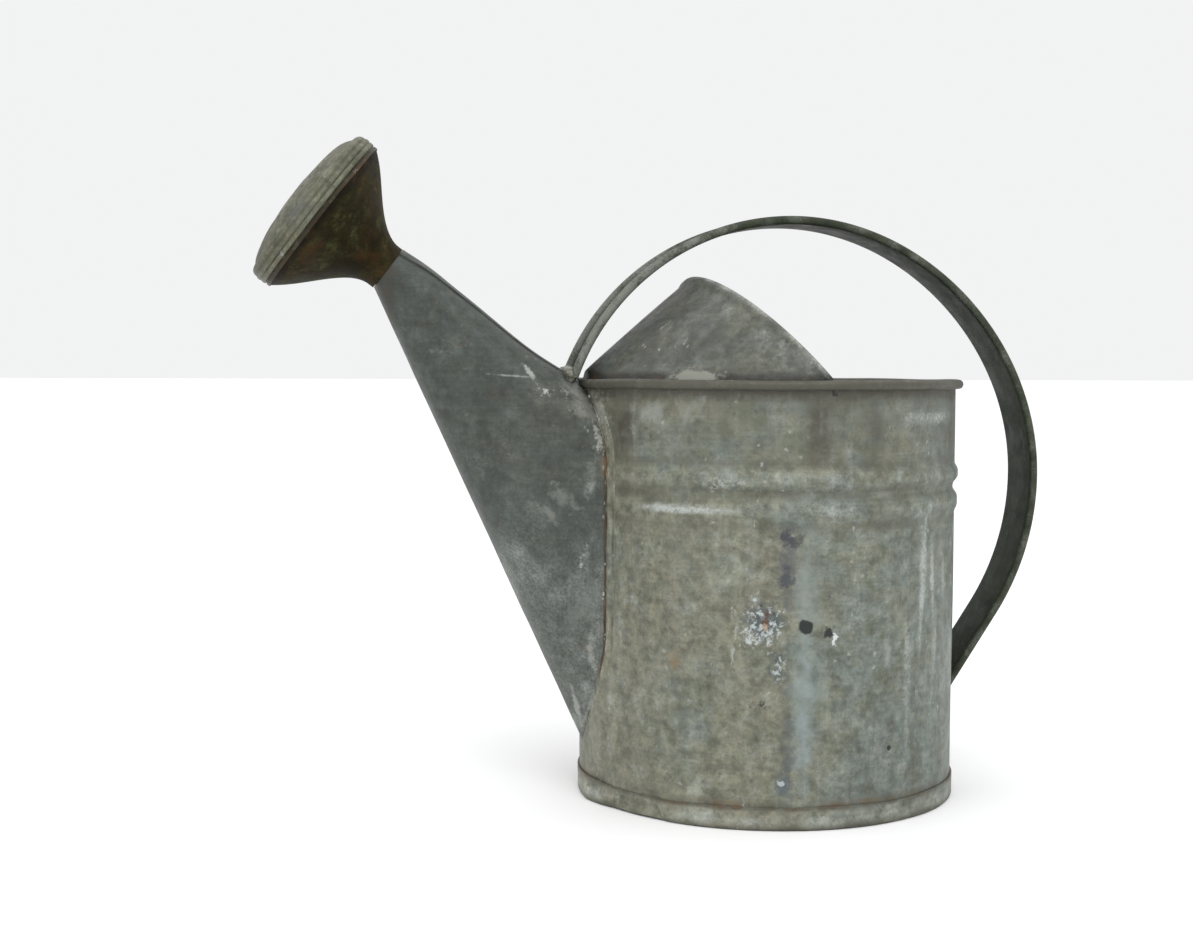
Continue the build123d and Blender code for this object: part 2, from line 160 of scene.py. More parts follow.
def revolved(name, profile, segments, bend):  # closed (radius, height) outline turned about Z and bent
    profile = np.asarray(profile, float)
    angles = np.linspace(-pi, pi, segments, endpoint=False)[:, None]
    angle = np.repeat(angles, len(profile), 1)
    radius, height = (np.repeat(profile[None, :, k], segments, 0) for k in (0, 1))
    points = roundPoints(angle, *bend(angle, radius, height))
    return closeShell(gridMesh(name, points, closeRows=True, closeColumns=True))


def addPiece(name, mesh, finishName, body, slotName, *replaced, smoothAngle=38):
    mesh.name = name
    mesh.materials.clear()
    mesh.materials.append(finish[finishName])
    mesh.polygons.foreach_set("use_smooth", [True] * len(mesh.polygons))
    mesh.set_sharp_from_angle(angle=radians(smoothAngle))
    piece = linked(name, mesh)
    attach(piece, body)
    if replaced:
        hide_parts(*replaced)
    print("piece", name, len(mesh.polygons), "faces")


def paint(mesh, **fields):  # values on the mesh's points that the finish reads
    for name, values in fields.items():
        layer = mesh.attributes.new(name, "FLOAT", "POINT")
        layer.data.foreach_set("value", clamp(values).astype(np.float32))
    return mesh


def spots(mesh):  # the mesh's points as one array
    flat = np.empty(3 * len(mesh.vertices), np.float32)
    mesh.vertices.foreach_get("co", flat)
    return flat.reshape(-1, 3).astype(float) / mm


# nodes
def connect(value, socket):
    if isinstance(value, bpy.types.NodeSocket):
        socket.id_data.links.new(value, socket)
    else:
        socket.default_value = value


def put(tree, kind, *values, settings=None, output=0, **sockets):  # a node with its inputs set
    node = tree.nodes.new(kind)
    for key, value in (settings or {}).items():
        setattr(node, key, value)
    for value, socket in zip(values, node.inputs):
        connect(value, socket)
    for key, value in sockets.items():
        connect(value, node.inputs[key.replace("_", " ")])
    return node.outputs[output]


def calc(operation, *values):
    tree = next(v.id_data for v in values if isinstance(v, bpy.types.NodeSocket))
    return put(tree, "ShaderNodeMath", *values, settings={"operation": operation})


plus, minus, times, over = (partial(calc, kind) for kind in ("ADD", "SUBTRACT", "MULTIPLY", "DIVIDE"))
timesPlus = partial(calc, "MULTIPLY_ADD")


def vector(operation, first, *values, **more):
    settings = {"operation": operation}
    return put(first.id_data, "ShaderNodeVectorMath", first, *values, settings=settings, **more)


def span(value, low, high):  # smooth 0 to 1 between two values
    smooth = {"interpolation_type": "SMOOTHSTEP"}
    return put(value.id_data, "ShaderNodeMapRange", settings=smooth, Value=value, From_Min=low, From_Max=high)


def tint(factor, first, second):
    node = factor.id_data.nodes.new("ShaderNodeMix")
    node.data_type = "RGBA"
    for value, index in ((factor, 0), (first, 6), (second, 7)):  # the colour inputs are 6 and 7
        connect((*value, 1) if isinstance(value, tuple) else value, node.inputs[index])
    return node.outputs[2]


def cloud(place, size, detail=4.0, rough=0.55):
    scale = 1 / (size * mm)
    return put(place.id_data, "ShaderNodeTexNoise", Vector=place, Scale=scale, Detail=detail, Roughness=rough)


def cells(place, size, output="Distance"):
    return put(place.id_data, "ShaderNodeTexVoronoi", Vector=place, Scale=1 / (size * mm), output=output)


def moved(place, scale=(1, 1, 1), shift=(0, 0, 0)):
    return put(place.id_data, "ShaderNodeMapping", Vector=place, Scale=scale, Location=shift)


def spread(value):  # noise stretched to the full range
    return span(value, 0.3, 0.7)


def swing(value, depth):  # a brightness that swings about 1
    return timesPlus(value, 2 * depth, 1 - depth)


def inverse(value):
    return minus(1.0, value)


def dots(place, size, reach, patch, patchFrom):  # small ragged spots, in patches
    spot = inverse(span(cells(place, size), *reach))
    return times(spot, span(cloud(place, patch, 2.0), patchFrom, patchFrom + 0.12))


def field(tree, name):  # a value painted on the mesh
    return put(tree, "ShaderNodeAttribute", settings={"attribute_name": name}, output="Fac")


def reachAlong(place, direction):
    return vector("DOT_PRODUCT", place, direction, output="Value")


def markPlace(spot):  # middle, sideways, upright and facing directions of a mark
    if len(spot) == 2:
        turn = radians(spot[0])
        facing = (cos(turn), sin(turn), 0)
        return (0, 0, spot[1]), (-facing[1], facing[0], 0), (0, 0, 1), facing
    x, z, tilt = spot
    run, rise = cos(radians(tilt)), sin(radians(tilt))
    return (x, 0, z), (run, 0, rise), (-rise, 0, run), (0, -1, 0)


def markMask(place, seed, spot, width, tall, ragged, fray, fleck, core):  # a ragged spot
    middle, sideways, upright, facing = markPlace(spot)
    shifted = moved(place, shift=(seed, 2 * seed, 0))
    edge = timesPlus(spread(cloud(shifted, ragged, 4.0, 0.7)), fray, -fray / 2)
    near = moved(place, shift=tuple(-c * mm for c in middle))
    across = over(reachAlong(near, sideways), width * mm)
    along = over(reachAlong(near, upright), tall * mm)
    squares = plus(calc("POWER", across, 2.0), calc("POWER", along, 2.0))
    mask = inverse(span(plus(calc("SQRT", squares), edge), core, 1.0))
    if fleck:
        mask = times(mask, span(cloud(shifted, fleck, 3.0, 0.6), 0.46, 0.62))
    return times(mask, span(reachAlong(place, facing), 2 * mm, 8 * mm))


def agedMetal(name, marks=(), **changes):
    look = dict(zinc, **changes)
    material = bpy.data.materials.new(name)
    material.use_nodes = True
    tree = material.node_tree
    shader = tree.nodes["Principled BSDF"].inputs
    place = put(tree, "ShaderNodeTexCoord", output="Object")
    acrossCan = put(tree, "ShaderNodeSeparateXYZ", place)
    broad = timesPlus(acrossCan, look["lean"], cloud(place, look["patch"], 7.0, 0.78))
    tarnish = cloud(moved(place, shift=(0.7, 0.2, 0.5)), look["tarnishSize"], 5.0, 0.65)
    mottle = cloud(moved(place, shift=(0.3, 0.1, 0)), look["mottle"], 8.0, 0.7)
    fine = spread(cloud(moved(place, shift=(0.1, 0.2, 0.3)), look["fine"], 4.0, 0.65))
    grain = spread(cloud(place, look["grain"], 2.0, 0.6))
    runs = spread(cloud(moved(place, scale=(1, 1, look["runStretch"])), look["runs"], 4.0, 0.6))
    brushed = spread(cloud(moved(place, scale=(1, 1, look["brushStretch"])), look["brush"], 3.0, 0.6))
    spangle = put(tree, "ShaderNodeSeparateColor", cells(place, look["spangle"], "Color"))

    def layer(mask, depth, tone):  # a colour of the look over the colour so far
        return tint(times(mask, look[depth]), colour, look[tone])

    colour = tint(span(broad, 0.4, 0.6), look["warm"], look["cool"])
    colour = layer(span(tarnish, *look["tarnishFrom"]), "tarnishDepth", "tarnish")
    colour = layer(span(mottle, *look["paleFrom"]), "paleDepth", "pale")
    colour = layer(span(mottle, *look["darkFrom"]), "darkDepth", "dark")
    light = swing(runs, look["runDepth"])
    for value, kind in ((fine, "fine"), (grain, "grain"), (brushed, "brush"), (spangle, "spangle")):
        light = times(light, swing(value, look[kind + "Depth"]))
    colour = vector("SCALE", colour, Scale=light)
    # darker from the painted values: grime, and painted shade in recesses, joints, grooves and undersides
    grime = times(field(tree, "dirt"), timesPlus(fine, 0.7, 0.65))
    colour = tint(span(grime, 0.0, 1.0), colour, look["grime"])
    # paler from the painted values: worn metal, and painted highlights on crests and lower faces
    worn = times(field(tree, "wear"), timesPlus(spread(mottle), 0.9, 0.55))
    colour = tint(span(times(worn, swing(grain, 0.3)), 0.0, 1.0), colour, look["worn"])
    ragged = put(tree, "ShaderNodeTexNoise", Vector=place, Scale=300.0, Detail=2.0, output="Color")
    torn = vector("MULTIPLY_ADD", ragged, (look["tear"] * mm,) * 3, place)  # frays the spots below
    speck = dots(torn, look["speck"], look["speckReach"], *look["speckPatch"])
    colour = layer(speck, "speckDepth", "oxide")
    aside = moved(torn, shift=(0.05, 0.02, 0.07))
    pit = dots(aside, look["pit"], look["pitReach"], *look["pitPatch"])
    colour = layer(pit, "pitDepth", "soot")
    scuff = cloud(moved(torn, scale=(1, 1, look["scuffStretch"])), look["scuff"], 5.0, 0.75)
    colour = layer(span(scuff, *look["scuffFrom"]), "scuffDepth", "oxide")
    rusty = cloud(moved(place, shift=(0, 0.4, 0.1)), look["rustPatch"], 6.0, 0.7)
    rusty = times(span(rusty, *look["rustFrom"]), look["rustDepth"])
    colour = tint(calc("MAXIMUM", rusty, times(field(tree, "rust"), fine)), colour, look["rust"])
    for index, (*shape, depth, tone) in enumerate(marks):
        colour = tint(times(markMask(place, 0.11 * index, *shape), depth), colour, tone)
    connect(colour, shader["Base Color"])
    rough = timesPlus(spread(mottle), look["roughSpread"], look["rough"] - look["roughSpread"] / 2)
    connect(rough, shader["Roughness"])
    shader["Metallic"].default_value = look["metallic"]
    shader["Specular IOR Level"].default_value = look["specular"]
    relief = plus(plus(times(grain, 0.35), times(mottle, 0.8)), times(speck, 0.3))
    relief = minus(relief, times(pit, 0.6))
    dent = put(tree, "ShaderNodeBump", Height=relief, Strength=look["relief"], Distance=0.5 * mm)
    connect(dent, shader["Normal"])
    return material


zinc = dict(
    warm=(0.176, 0.176, 0.128), cool=(0.143, 0.168, 0.148), patch=110, lean=1.0,
    tarnish=(0.118, 0.126, 0.090), tarnishSize=11, tarnishFrom=(0.48, 0.62), tarnishDepth=0.75,
    mottle=13, pale=(0.25, 0.265, 0.235), paleFrom=(0.5, 0.68), paleDepth=0.6,
    dark=(0.10, 0.105, 0.085), darkFrom=(0.5, 0.32), darkDepth=0.55,
    fine=6, fineDepth=0.26, grain=1.5, grainDepth=0.07, spangle=6, spangleDepth=0.06,
    runs=14, runStretch=0.1, runDepth=0.12, brush=30, brushStretch=16, brushDepth=0.07,
    # the grime colour also serves as painted shade, and the worn colour as painted highlights
    grime=(0.075, 0.072, 0.055), worn=(0.37, 0.395, 0.37), oxide=(0.48, 0.51, 0.48), soot=(0.05, 0.055, 0.05),
    tear=4, speck=8, speckReach=(0.04, 0.2), speckPatch=(24, 0.5), speckDepth=0.45,
    pit=8, pitReach=(0.05, 0.22), pitPatch=(30, 0.47), pitDepth=0.45,
    scuff=14, scuffStretch=0.22, scuffFrom=(0.63, 0.7), scuffDepth=0.4,
    rust=(0.15, 0.085, 0.04), rustPatch=26, rustFrom=(0.62, 0.76), rustDepth=0.35,
    rough=0.52, roughSpread=0.22, metallic=0.35, specular=0.4, relief=0.4,
)  # weathered zinc, the base of every sheet on the can

# marks: (angle, height) on the wall or (x, z, tilt) in the side view, then half width, half height, size and
# depth of the ragged edge, size of flecks, share at full strength, strength and colour
paleBlue, crust = (0.21, 0.255, 0.25), (0.46, 0.50, 0.50)
blackened, rustRed = (0.010, 0.013, 0.013), (0.10, 0.045, 0.024)
bodyMarks = [  # on the wall
    ((-93.8, 92), 10, 105, 30, 0.9, 0, 0, 0.6, paleBlue),
    ((-94.2, 50), 6, 52, 11, 1.2, 0, 0, 0.5, (0.26, 0.315, 0.32)),
    ((-99.5, 140), 8, 32, 12, 1, 0, 0, 0.75, (0.085, 0.09, 0.095)),
    ((-98.5, 40), 5, 42, 9, 1.2, 0, 0, 0.6, (0.075, 0.09, 0.1)),
    ((-98.9, 161.8), 8, 8, 6, 1, 0, 0.1, 0.85, (0.04, 0.044, 0.055)),
    ((-99.8, 141), 7, 9, 5, 1.1, 0, 0.1, 0.8, (0.05, 0.055, 0.065)),
    ((-105.6, 117), 14, 17, 8, 0.6, 0, 0.1, 0.85, (0.07, 0.085, 0.09)),
    ((-106.5, 115), 14, 15, 5, 0.9, 2.6, 0.45, 0.85, crust),
    ((-106.3, 107), 10, 6.5, 4, 0.9, 3.4, 0.4, 0.85, crust),
    ((-105.2, 120), 6, 8, 3.5, 1.2, 3, 0.3, 0.92, blackened),
    ((-105, 118), 2.6, 5, 3, 1, 0, 0.2, 0.85, rustRed),
    ((-104.9, 113.5), 2.2, 2.6, 2, 1, 0, 0.3, 0.8, (0.4, 0.28, 0.17)),
    ((-93.8, 113.6), 4.7, 4.7, 4, 0.22, 0, 0.72, 0.93, blackened),
    ((-87, 110.5), 4.6, 4.6, 4, 0.9, 0, 0.5, 0.9, blackened),
    ((-85.3, 107), 1.8, 3.4, 2.4, 1.2, 0, 0.6, 0.85, (0.62, 0.65, 0.64)),
    ((-101.2, 92), 7, 13, 5, 1, 0, 0, 0.75, (0.06, 0.075, 0.08)),
    ((-101.4, 93), 4.5, 9, 5, 1, 2.6, 0.3, 0.75, crust),
    ((-100.2, 25), 6, 6, 4, 1, 0, 0.2, 0.8, (0.09, 0.11, 0.12)),
    ((-100.4, 26.7), 2.3, 2.3, 2.4, 0.9, 0, 0.6, 0.7, crust),
    ((-66.8, 42.7), 2, 2, 3, 0.3, 0, 0.6, 0.9, blackened),
    ((-105.8, 70), 6, 3.4, 4, 1.2, 3, 0.6, 0.8, blackened),
    ((-132, 92), 6, 7, 6, 1, 0, 0, 0.5, (0.21, 0.135, 0.065)),
    ((-117, 192), 16, 5, 6, 0.9, 2.4, 0.2, 0.6, (0.4, 0.42, 0.4)),
    ((-140, 229), 17, 9, 16, 1, 0, 0, 0.6, (0.27, 0.285, 0.26)),
    ((-125.5, 235), 13, 9, 14, 0.9, 0, 0, 0.6, (0.29, 0.31, 0.29)),
    ((-165, 229), 16, 17, 6, 1.1, 4, 0.2, 0.7, (0.33, 0.34, 0.31)),
    ((60, 90), 12, 70, 16, 1.2, 8, 0.1, 0.6, (0.09, 0.095, 0.09)),
]
spoutMarks = [  # on the near side of the spout and its joint
    ((-148.6, 252, -60), 7, 2, 3, 1, 0, 0.2, 0.75, (0.34, 0.36, 0.34)),
    ((-139, 241, -12), 7, 2.6, 3, 1.1, 2.6, 0.3, 0.85, (0.4, 0.42, 0.4)),
    ((-160, 250.5, -4), 14, 0.8, 3, 0.6, 0, 0.2, 0.6, (0.3, 0.32, 0.31)),
    ((-130, 181, -38), 15, 5, 5, 1.2, 0, 0, 0.5, (0.2, 0.21, 0.19)),
    ((-138, 170, -46), 10, 3, 4, 1.2, 0, 0, 0.5, (0.21, 0.21, 0.185)),
    ((-119, 143, 70), 12, 3.2, 4, 1.2, 3, 0.2, 0.7, (0.34, 0.36, 0.35)),
    ((-119, 56, -74), 20, 1.8, 7, 1, 0, 0.1, 0.7, (0.36, 0.37, 0.34)),
    ((-113, 50, 80), 20, 1.6, 6, 1.2, 0, 0, 0.6, (0.3, 0.31, 0.27)),
    ((-113, 88, -84), 16, 3, 6, 1.1, 0, 0.1, 0.75, (0.28, 0.29, 0.26)),
    ((-115, 232, -56), 21, 9, 9, 0.8, 0, 0.1, 0.85, (0.215, 0.217, 0.192)),
    ((-107, 199, 88), 9, 3, 4, 0.9, 0, 0.1, 0.75, (0.16, 0.105, 0.055)),
    ((-122, 237, -48), 15, 7, 6, 1.1, 4, 0.2, 0.75, (0.24, 0.25, 0.225)),
    ((-110, 224, 76), 24, 7, 6, 1.1, 3.4, 0.3, 0.75, (0.34, 0.34, 0.3)),
    ((-116, 120, 60), 18, 10, 10, 1.2, 0, 0, 0.5, (0.17, 0.185, 0.17)),
]
hoodMarks = [
    ((-127, 251), 17, 5.5, 9, 0.8, 0, 0.5, 0.8, (0.245, 0.25, 0.21)),
    ((-100, 268), 22, 9, 10, 1.2, 6, 0.1, 0.6, (0.21, 0.225, 0.2)),
    ((-84, 255), 14, 8, 8, 1.2, 5, 0.1, 0.6, (0.24, 0.255, 0.24)),
]
capMarks = [
    ((-282.5, 339.5, 52), 11, 5, 5, 1, 0, 0.1, 0.75, (0.085, 0.085, 0.08)),
    ((-268, 365.4, 52), 16, 3, 5, 0.9, 0, 0, 0.6, (0.06, 0.06, 0.042)),
]

finish = {
    "tank": agedMetal("tankZinc", bodyMarks),
    "plain": agedMetal("plainZinc"),
    "foot": agedMetal(
        "footZinc", warm=(0.222, 0.222, 0.168), cool=(0.21, 0.228, 0.195), pale=(0.31, 0.325, 0.285),
        rustDepth=0.2,
    ),
    "spout": agedMetal(
        "spoutZinc", spoutMarks, warm=(0.068, 0.072, 0.056), cool=(0.056, 0.067, 0.059),
        pale=(0.115, 0.125, 0.113), dark=(0.040, 0.044, 0.041), tarnish=(0.050, 0.054, 0.044),
        grime=(0.027, 0.027, 0.024), worn=(0.24, 0.26, 0.24), oxide=(0.31, 0.33, 0.32), lean=-0.4,
        rustDepth=0.2, speckDepth=0.3, pitDepth=0.3, scuffDepth=0.25, paleDepth=0.4, fineDepth=0.18,
    ),
    "hood": agedMetal(
        "hoodZinc", hoodMarks, warm=(0.102, 0.105, 0.082), cool=(0.087, 0.098, 0.091),
        pale=(0.166, 0.171, 0.150), dark=(0.055, 0.058, 0.052), tarnish=(0.08, 0.084, 0.066),
        grime=(0.028, 0.028, 0.025), worn=(0.29, 0.30, 0.275), lean=0.0,
    ),
    "handle": agedMetal(
        "handleSteel", warm=(0.034, 0.041, 0.024), cool=(0.028, 0.036, 0.023), pale=(0.060, 0.069, 0.046),
        dark=(0.016, 0.018, 0.013), tarnish=(0.024, 0.028, 0.018), oxide=(0.15, 0.16, 0.135),
        grime=(0.014, 0.018, 0.010), worn=(0.165, 0.172, 0.150), lean=0.0, rustDepth=0.1, rough=0.55,
        tarnishDepth=0.4, paleDepth=0.35, darkDepth=0.3, fineDepth=0.2, speckDepth=0.25, pitDepth=0.2,
        scuffDepth=0.2, runDepth=0.05, specular=0.12, metallic=0.0,
    ),
    "cone": agedMetal(
        "roseRust", warm=(0.017, 0.0125, 0.0036), cool=(0.0155, 0.0155, 0.0052), pale=(0.052, 0.050, 0.021),
        dark=(0.007, 0.006, 0.0025), tarnish=(0.026, 0.025, 0.0082), oxide=(0.12, 0.11, 0.075),
        grime=(0.008, 0.006, 0.003), worn=(0.06, 0.058, 0.036), rust=(0.042, 0.019, 0.006), lean=0.0,
        mottle=9, paleDepth=0.8, rustDepth=0.55, rustFrom=(0.5, 0.66), runDepth=0.04, rough=0.66,
        metallic=0.0, specular=0.08, speckDepth=0.2, pitDepth=0.3, scuffDepth=0.15,
    ),
    "cap": agedMetal(
        "roseCap", capMarks, warm=(0.125, 0.122, 0.082), cool=(0.115, 0.124, 0.092),
        pale=(0.19, 0.192, 0.143), dark=(0.066, 0.066, 0.046), tarnish=(0.08, 0.08, 0.052),
        grime=(0.03, 0.024, 0.014), worn=(0.24, 0.245, 0.20), lean=0.0, rustDepth=0.3, runDepth=0.04,
        specular=0.2, speckDepth=0.2,
    ),
    "seam": agedMetal(
        "seamZinc", spoutMarks, grime=(0.042, 0.032, 0.019), worn=(0.42, 0.42, 0.35), fineDepth=0.3,
        relief=0.7, rustDepth=0.4,
    ),
    "solder": agedMetal(
        "oldSolder", warm=(0.165, 0.162, 0.13), cool=(0.17, 0.178, 0.158), pale=(0.48, 0.48, 0.44),
        dark=(0.08, 0.078, 0.062), paleDepth=0.8, mottle=9, fineDepth=0.28, relief=0.8, rustDepth=0.4,
    ),
    "wire": agedMetal(
        "drawnWire", warm=(0.16, 0.15, 0.12), cool=(0.15, 0.15, 0.135), mottle=8, runDepth=0.05,
    ),
}
print("finishes made:", len(finish))


# sizes that several pieces share, read from the frame
def boxOf(node):
    return [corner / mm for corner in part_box(node)]


tankLow, tankHigh = boxOf("tank_wall")
baseHigh = boxOf("base_plate")[1]
canSheet, lap = 1.0, 0.05
canRadius = baseHigh.x + lap + canSheet
canTop = tankHigh.z
rimRoll = (tankHigh.x - canRadius + canSheet) / 2
rimLevel = canTop - rimRoll

# tank wall: rolled sheet with two swaged ridges and a wired rim
tank = dict(
    segments=320, rowStep=1.8, upperDrop=55, upperRise=2.0, upperHalf=6, lowerDrop=71.5, lowerRise=1.7,
    lowerHalf=7, recess=1.0, recessHalf=4, fadeFrom=22, fadeTo=58, lowerSag=10, dent=0.55, dentSize=70,
    creaseFrom=(-134, 240), creaseTo=(-153, 216), creaseHalf=7, creaseRise=1.1, rimWave=0.9,
)


def wallShift(angle, height):  # how far the wall stands out at an angle and height
    fromSpout = np.degrees(pi - np.abs(angle))
    fade = ramp(tank["fadeFrom"], tank["fadeTo"], fromSpout)
    upper = canTop - tank["upperDrop"]
    lower = canTop - tank["lowerDrop"] - tank["lowerSag"] * (1 - ramp(28, 62, fromSpout))
    shift = (0.45 + 0.55 * fade) * tank["upperRise"] * ridge(height, upper, tank["upperHalf"])
    shift -= fade * tank["recess"] * ridge(height, (upper + lower) / 2, tank["recessHalf"])
    shift += fade * tank["lowerRise"] * ridge(height, lower, tank["lowerHalf"])
    ends = [(radians(turn) * canRadius, z) for turn, z in (tank["creaseFrom"], tank["creaseTo"])]
    start, run = np.array(ends[0]), np.subtract(ends[1], ends[0])
    away = np.stack([angle * canRadius, height], -1) - start
    t = clamp((away @ run) / (run @ run))
    away = np.linalg.norm(away - t[..., None] * run, axis=-1)
    shift += tank["creaseRise"] * bump(away, 0, tank["creaseHalf"]) * np.sin(pi * np.clip(t, 0.08, 0.92))
    calm = ramp(canTop, canTop - 20, height)
    return shift + calm * tank["dent"] * ripple(roundPoints(angle, canRadius, height), tank["dentSize"], 3)


def tankBend(angle, radius, height):
    upper = ramp(canTop - 30, canTop, height)
    return radius + wallShift(angle, height), height + upper * tank["rimWave"] * ringWave(angle, 0.5, 9)


def jointAway(angle, height):  # distance on the wall from the line where the spout meets it
    along = (pi - np.abs(angle)) * canRadius
    return np.min([np.hypot(along - x, height - z) for x, z in spoutJoint], axis=0)


# paint functions: each term is a strength times where it lies, in millimetres or degrees
def tankPaint(mesh):
    p = spots(mesh)
    x, y, height = p.T
    angle = np.arctan2(y, x)
    turn = np.degrees(angle)
    coarse, middle, streaky = ripple(p, 34, 11), ripple(p, 12, 12), ripple(p * (1, 1, 0.08), 5, 13)
    upper, lower = canTop - tank["upperDrop"], canTop - tank["lowerDrop"]
    dirt = 0.6 + 0.35 * ramp(-75, -120, turn) + 0.25 * middle  # the rim, darker on the spout's side
    dirt *= ramp(canTop - 9, canTop - 4, height) * (1 - 0.3 * bump(height, canTop, 2.2))
    bands = ((0.45, canTop - 8, 6), (0.45, (upper + lower) / 2, 6), (0.3, upper + 9, 5), (0.35, lower - 9, 5))
    for depth, level, half in bands:  # painted shade with grime under the rim, in the recess between the ridges and beside them
        dirt += depth * bump(height, level, half)
    dirt += 0.3 * ramp(upper + 4, upper + 20, height)  # above the ridges
    dirt += 0.55 * bump(height, 13, 8) * (0.6 + middle)  # painted shade with grime over the foot
    dirt += 0.5 * (1 - ramp(0, 11, jointAway(angle, height))) * (0.7 + 0.6 * middle)  # painted shade with grime along the spout's joint
    dirt += 0.5 * bump(turn, -90.5, 6) * bump(height, 220, 34)  # two dark runs under the rim
    dirt += 0.45 * bump(turn, -150, 9) * bump(height, 222, 26)
    dirt += 0.4 * clamp(coarse - 0.1) + 0.3 * clamp(middle - 0.15)  # clouds all over
    wear = 0.28 * bump(height, upper + 1, 4) * (0.5 + middle)  # painted highlights with wear on the crests of the two ridges
    wear += 0.28 * bump(height, lower, 4) * (0.6 + middle)
    wear += 0.85 * bump(turn, -129, 20) * bump(height, lower, 3.4)  # painted highlight along a stretch of the lower ridge
    wear += 0.5 * bump(turn, -46, 24) * bump(height, 228, 6) * (0.8 + middle)  # scratches under the rim
    wear += 0.7 * bump(turn, -48, 22) * bump(height, 125, 85) * clamp(2.2 * streaky)  # pale streaks
    wear += 0.35 * clamp(-coarse - 0.12) + 0.25 * clamp(2 * streaky - 0.5)
    rust = 0.6 * bump(height, 14, 4) * clamp(0.4 + 2 * coarse)  # over the foot
    inside = np.hypot(x, y) < canRadius - 0.6 * canSheet
    dirt = np.where(inside, 0.3 + 0.3 * middle, dirt)
    return paint(mesh, dirt=dirt, wear=np.where(inside, 0, wear), rust=np.where(inside, 0, rust))


def tankProfile():
    inside = canRadius - canSheet
    outer = [(canRadius, z) for z in np.arange(tankLow.z, rimLevel - 0.8 * rimRoll, tank["rowStep"])]
    bead = arc(inside + rimRoll, rimLevel, rimRoll, -130, 180, 18)
    inner = [(inside, z) for z in np.arange(rimLevel - 3, tankLow.z, -4)]
    return outer + bead + inner + [(inside, tankLow.z)]


# geometry nodes
def shaped(name, mesh, build, **sizes):  # a mesh run through a tree with named inputs, as a plain mesh
    tree = bpy.data.node_groups.new(name, "GeometryNodeTree")
    for side in ("INPUT", "OUTPUT"):
        tree.interface.new_socket("Geometry", in_out=side, socket_type="NodeSocketGeometry")
    kinds = {float: "Float", int: "Int", tuple: "Vector"}
    sockets = {}
    for label, value in sizes.items():
        kind = "NodeSocket" + (kinds.get(type(value)) or type(value).__name__)
        sockets[label] = tree.interface.new_socket(label, in_out="INPUT", socket_type=kind)
    given = tree.nodes.new("NodeGroupInput").outputs
    real = put(tree, "GeometryNodeRealizeInstances", build(tree, given))
    done = put(tree, "GeometryNodeSetMaterial", real, Material=given["finish"])
    connect(done, tree.nodes.new("NodeGroupOutput").inputs[0])
    helper = linked("helper", mesh)
    modifier = helper.modifiers.new("shape", "NODES")
    modifier.node_group = tree
    for label, value in sizes.items():  # floats and vectors are lengths
        if isinstance(value, tuple):
            value = tuple(c * mm for c in value)
        modifier[sockets[label].identifier] = value * mm if isinstance(value, float) else value
    return bakedMesh(helper)


def curveObject(name, points, closed=False):
    data = bpy.data.curves.new(name, "CURVE")
    data.dimensions = "3D"
    line = data.splines.new("POLY")
    line.points.add(len(points) - 1)
    line.points.foreach_set("co", [c for x, y, z in points for c in (x * mm, y * mm, z * mm, 1)])
    line.use_cyclic_u = closed
    return linked(name, data)


def cutBy(first, second):
    cut = {"operation": "DIFFERENCE", "solver": "MANIFOLD"}
    return put(first.id_data, "GeometryNodeMeshBoolean", settings=cut, Mesh_1=first, Mesh_2=second)


def drillsOn(points, given, sides):
    tree = points.id_data
    radius, depth = given["holeRadius"], given["reach"]
    drill = put(tree, "GeometryNodeMeshCylinder", Vertices=sides, Radius=radius, Depth=depth)
    return put(tree, "GeometryNodeInstanceOnPoints", points, Instance=drill)


def strainerHoles(mesh):
    def build(tree, given):
        columns, rows = given["columns"], given["rows"]
        sizeX, sizeY = (times(given["pitch"], minus(count, 1.0)) for count in (columns, rows))
        grid = put(tree, "GeometryNodeMeshGrid", sizeX, sizeY, columns, rows)
        holes = drillsOn(grid, given, 20)
        seat = put(tree, "ShaderNodeCombineXYZ", X=times(given["wallRadius"], -1.0), Z=given["level"])
        quarter = radians(90)
        turned = put(tree, "GeometryNodeTransform", holes, Translation=seat, Rotation=(quarter, 0, quarter))
        return cutBy(given["Geometry"], turned)

    return shaped("strainerHoles", mesh, build, holeRadius=4.0, pitch=14.0, columns=3, rows=10, level=137.75,
                  reach=30.0, wallRadius=canRadius, finish=finish["tank"])


# foot hoop: a band turned in under the wall, dented at the front left
foot = dict(
    wave=0.8, dentAngles=(-210, -190, -178, -168, -160, -152, -146, -140, -136, -132),
    dents=(0, -0.8, 1.0, 3.0, 1.2, -2.0, -3.8, -4.2, -1.4, 0), dentRise=0.25, sheet=1.2, lip=5, corner=1.8,
)
hoopHigh = boxOf("foot_hoop")[1]


def footBend(angle, radius, height):
    wave = ringWave(angle, 0.22, 5)
    upper = ramp(4, 12, height)
    turn = np.degrees(angle)
    turn = np.where(turn > 90, turn - 360, turn)
    dent = np.interp(turn, foot["dentAngles"], foot["dents"], left=0, right=0) * (1 - 0.85 * upper)
    radius = radius + dent + 0.35 * wave * (dent == 0)
    return radius, height + foot["dentRise"] * np.maximum(-dent, 0) + foot["wave"] * wave * upper


def footPaint(mesh):
    p = spots(mesh)
    height = p[:, 2]
    middle, coarse = ripple(p, 10, 21), ripple(p, 28, 22)
    joint = bump(height, 13, 3.5)  # where the hoop meets the wall
    # painted shade with grime where the hoop meets the wall, darker towards the bottom, and clouds
    dirt = 0.75 * joint + 0.7 * ramp(5, 0, height) + 0.7 * clamp(coarse + 0.1)
    rust = 0.7 * joint * clamp(0.4 + 2 * coarse) + 0.4 * clamp(2 * middle - 0.7)
    wear = 0.55 * bump(height, 6, 4) * clamp(0.3 - 1.5 * coarse)
    return paint(mesh, dirt=dirt, rust=rust, wear=wear)


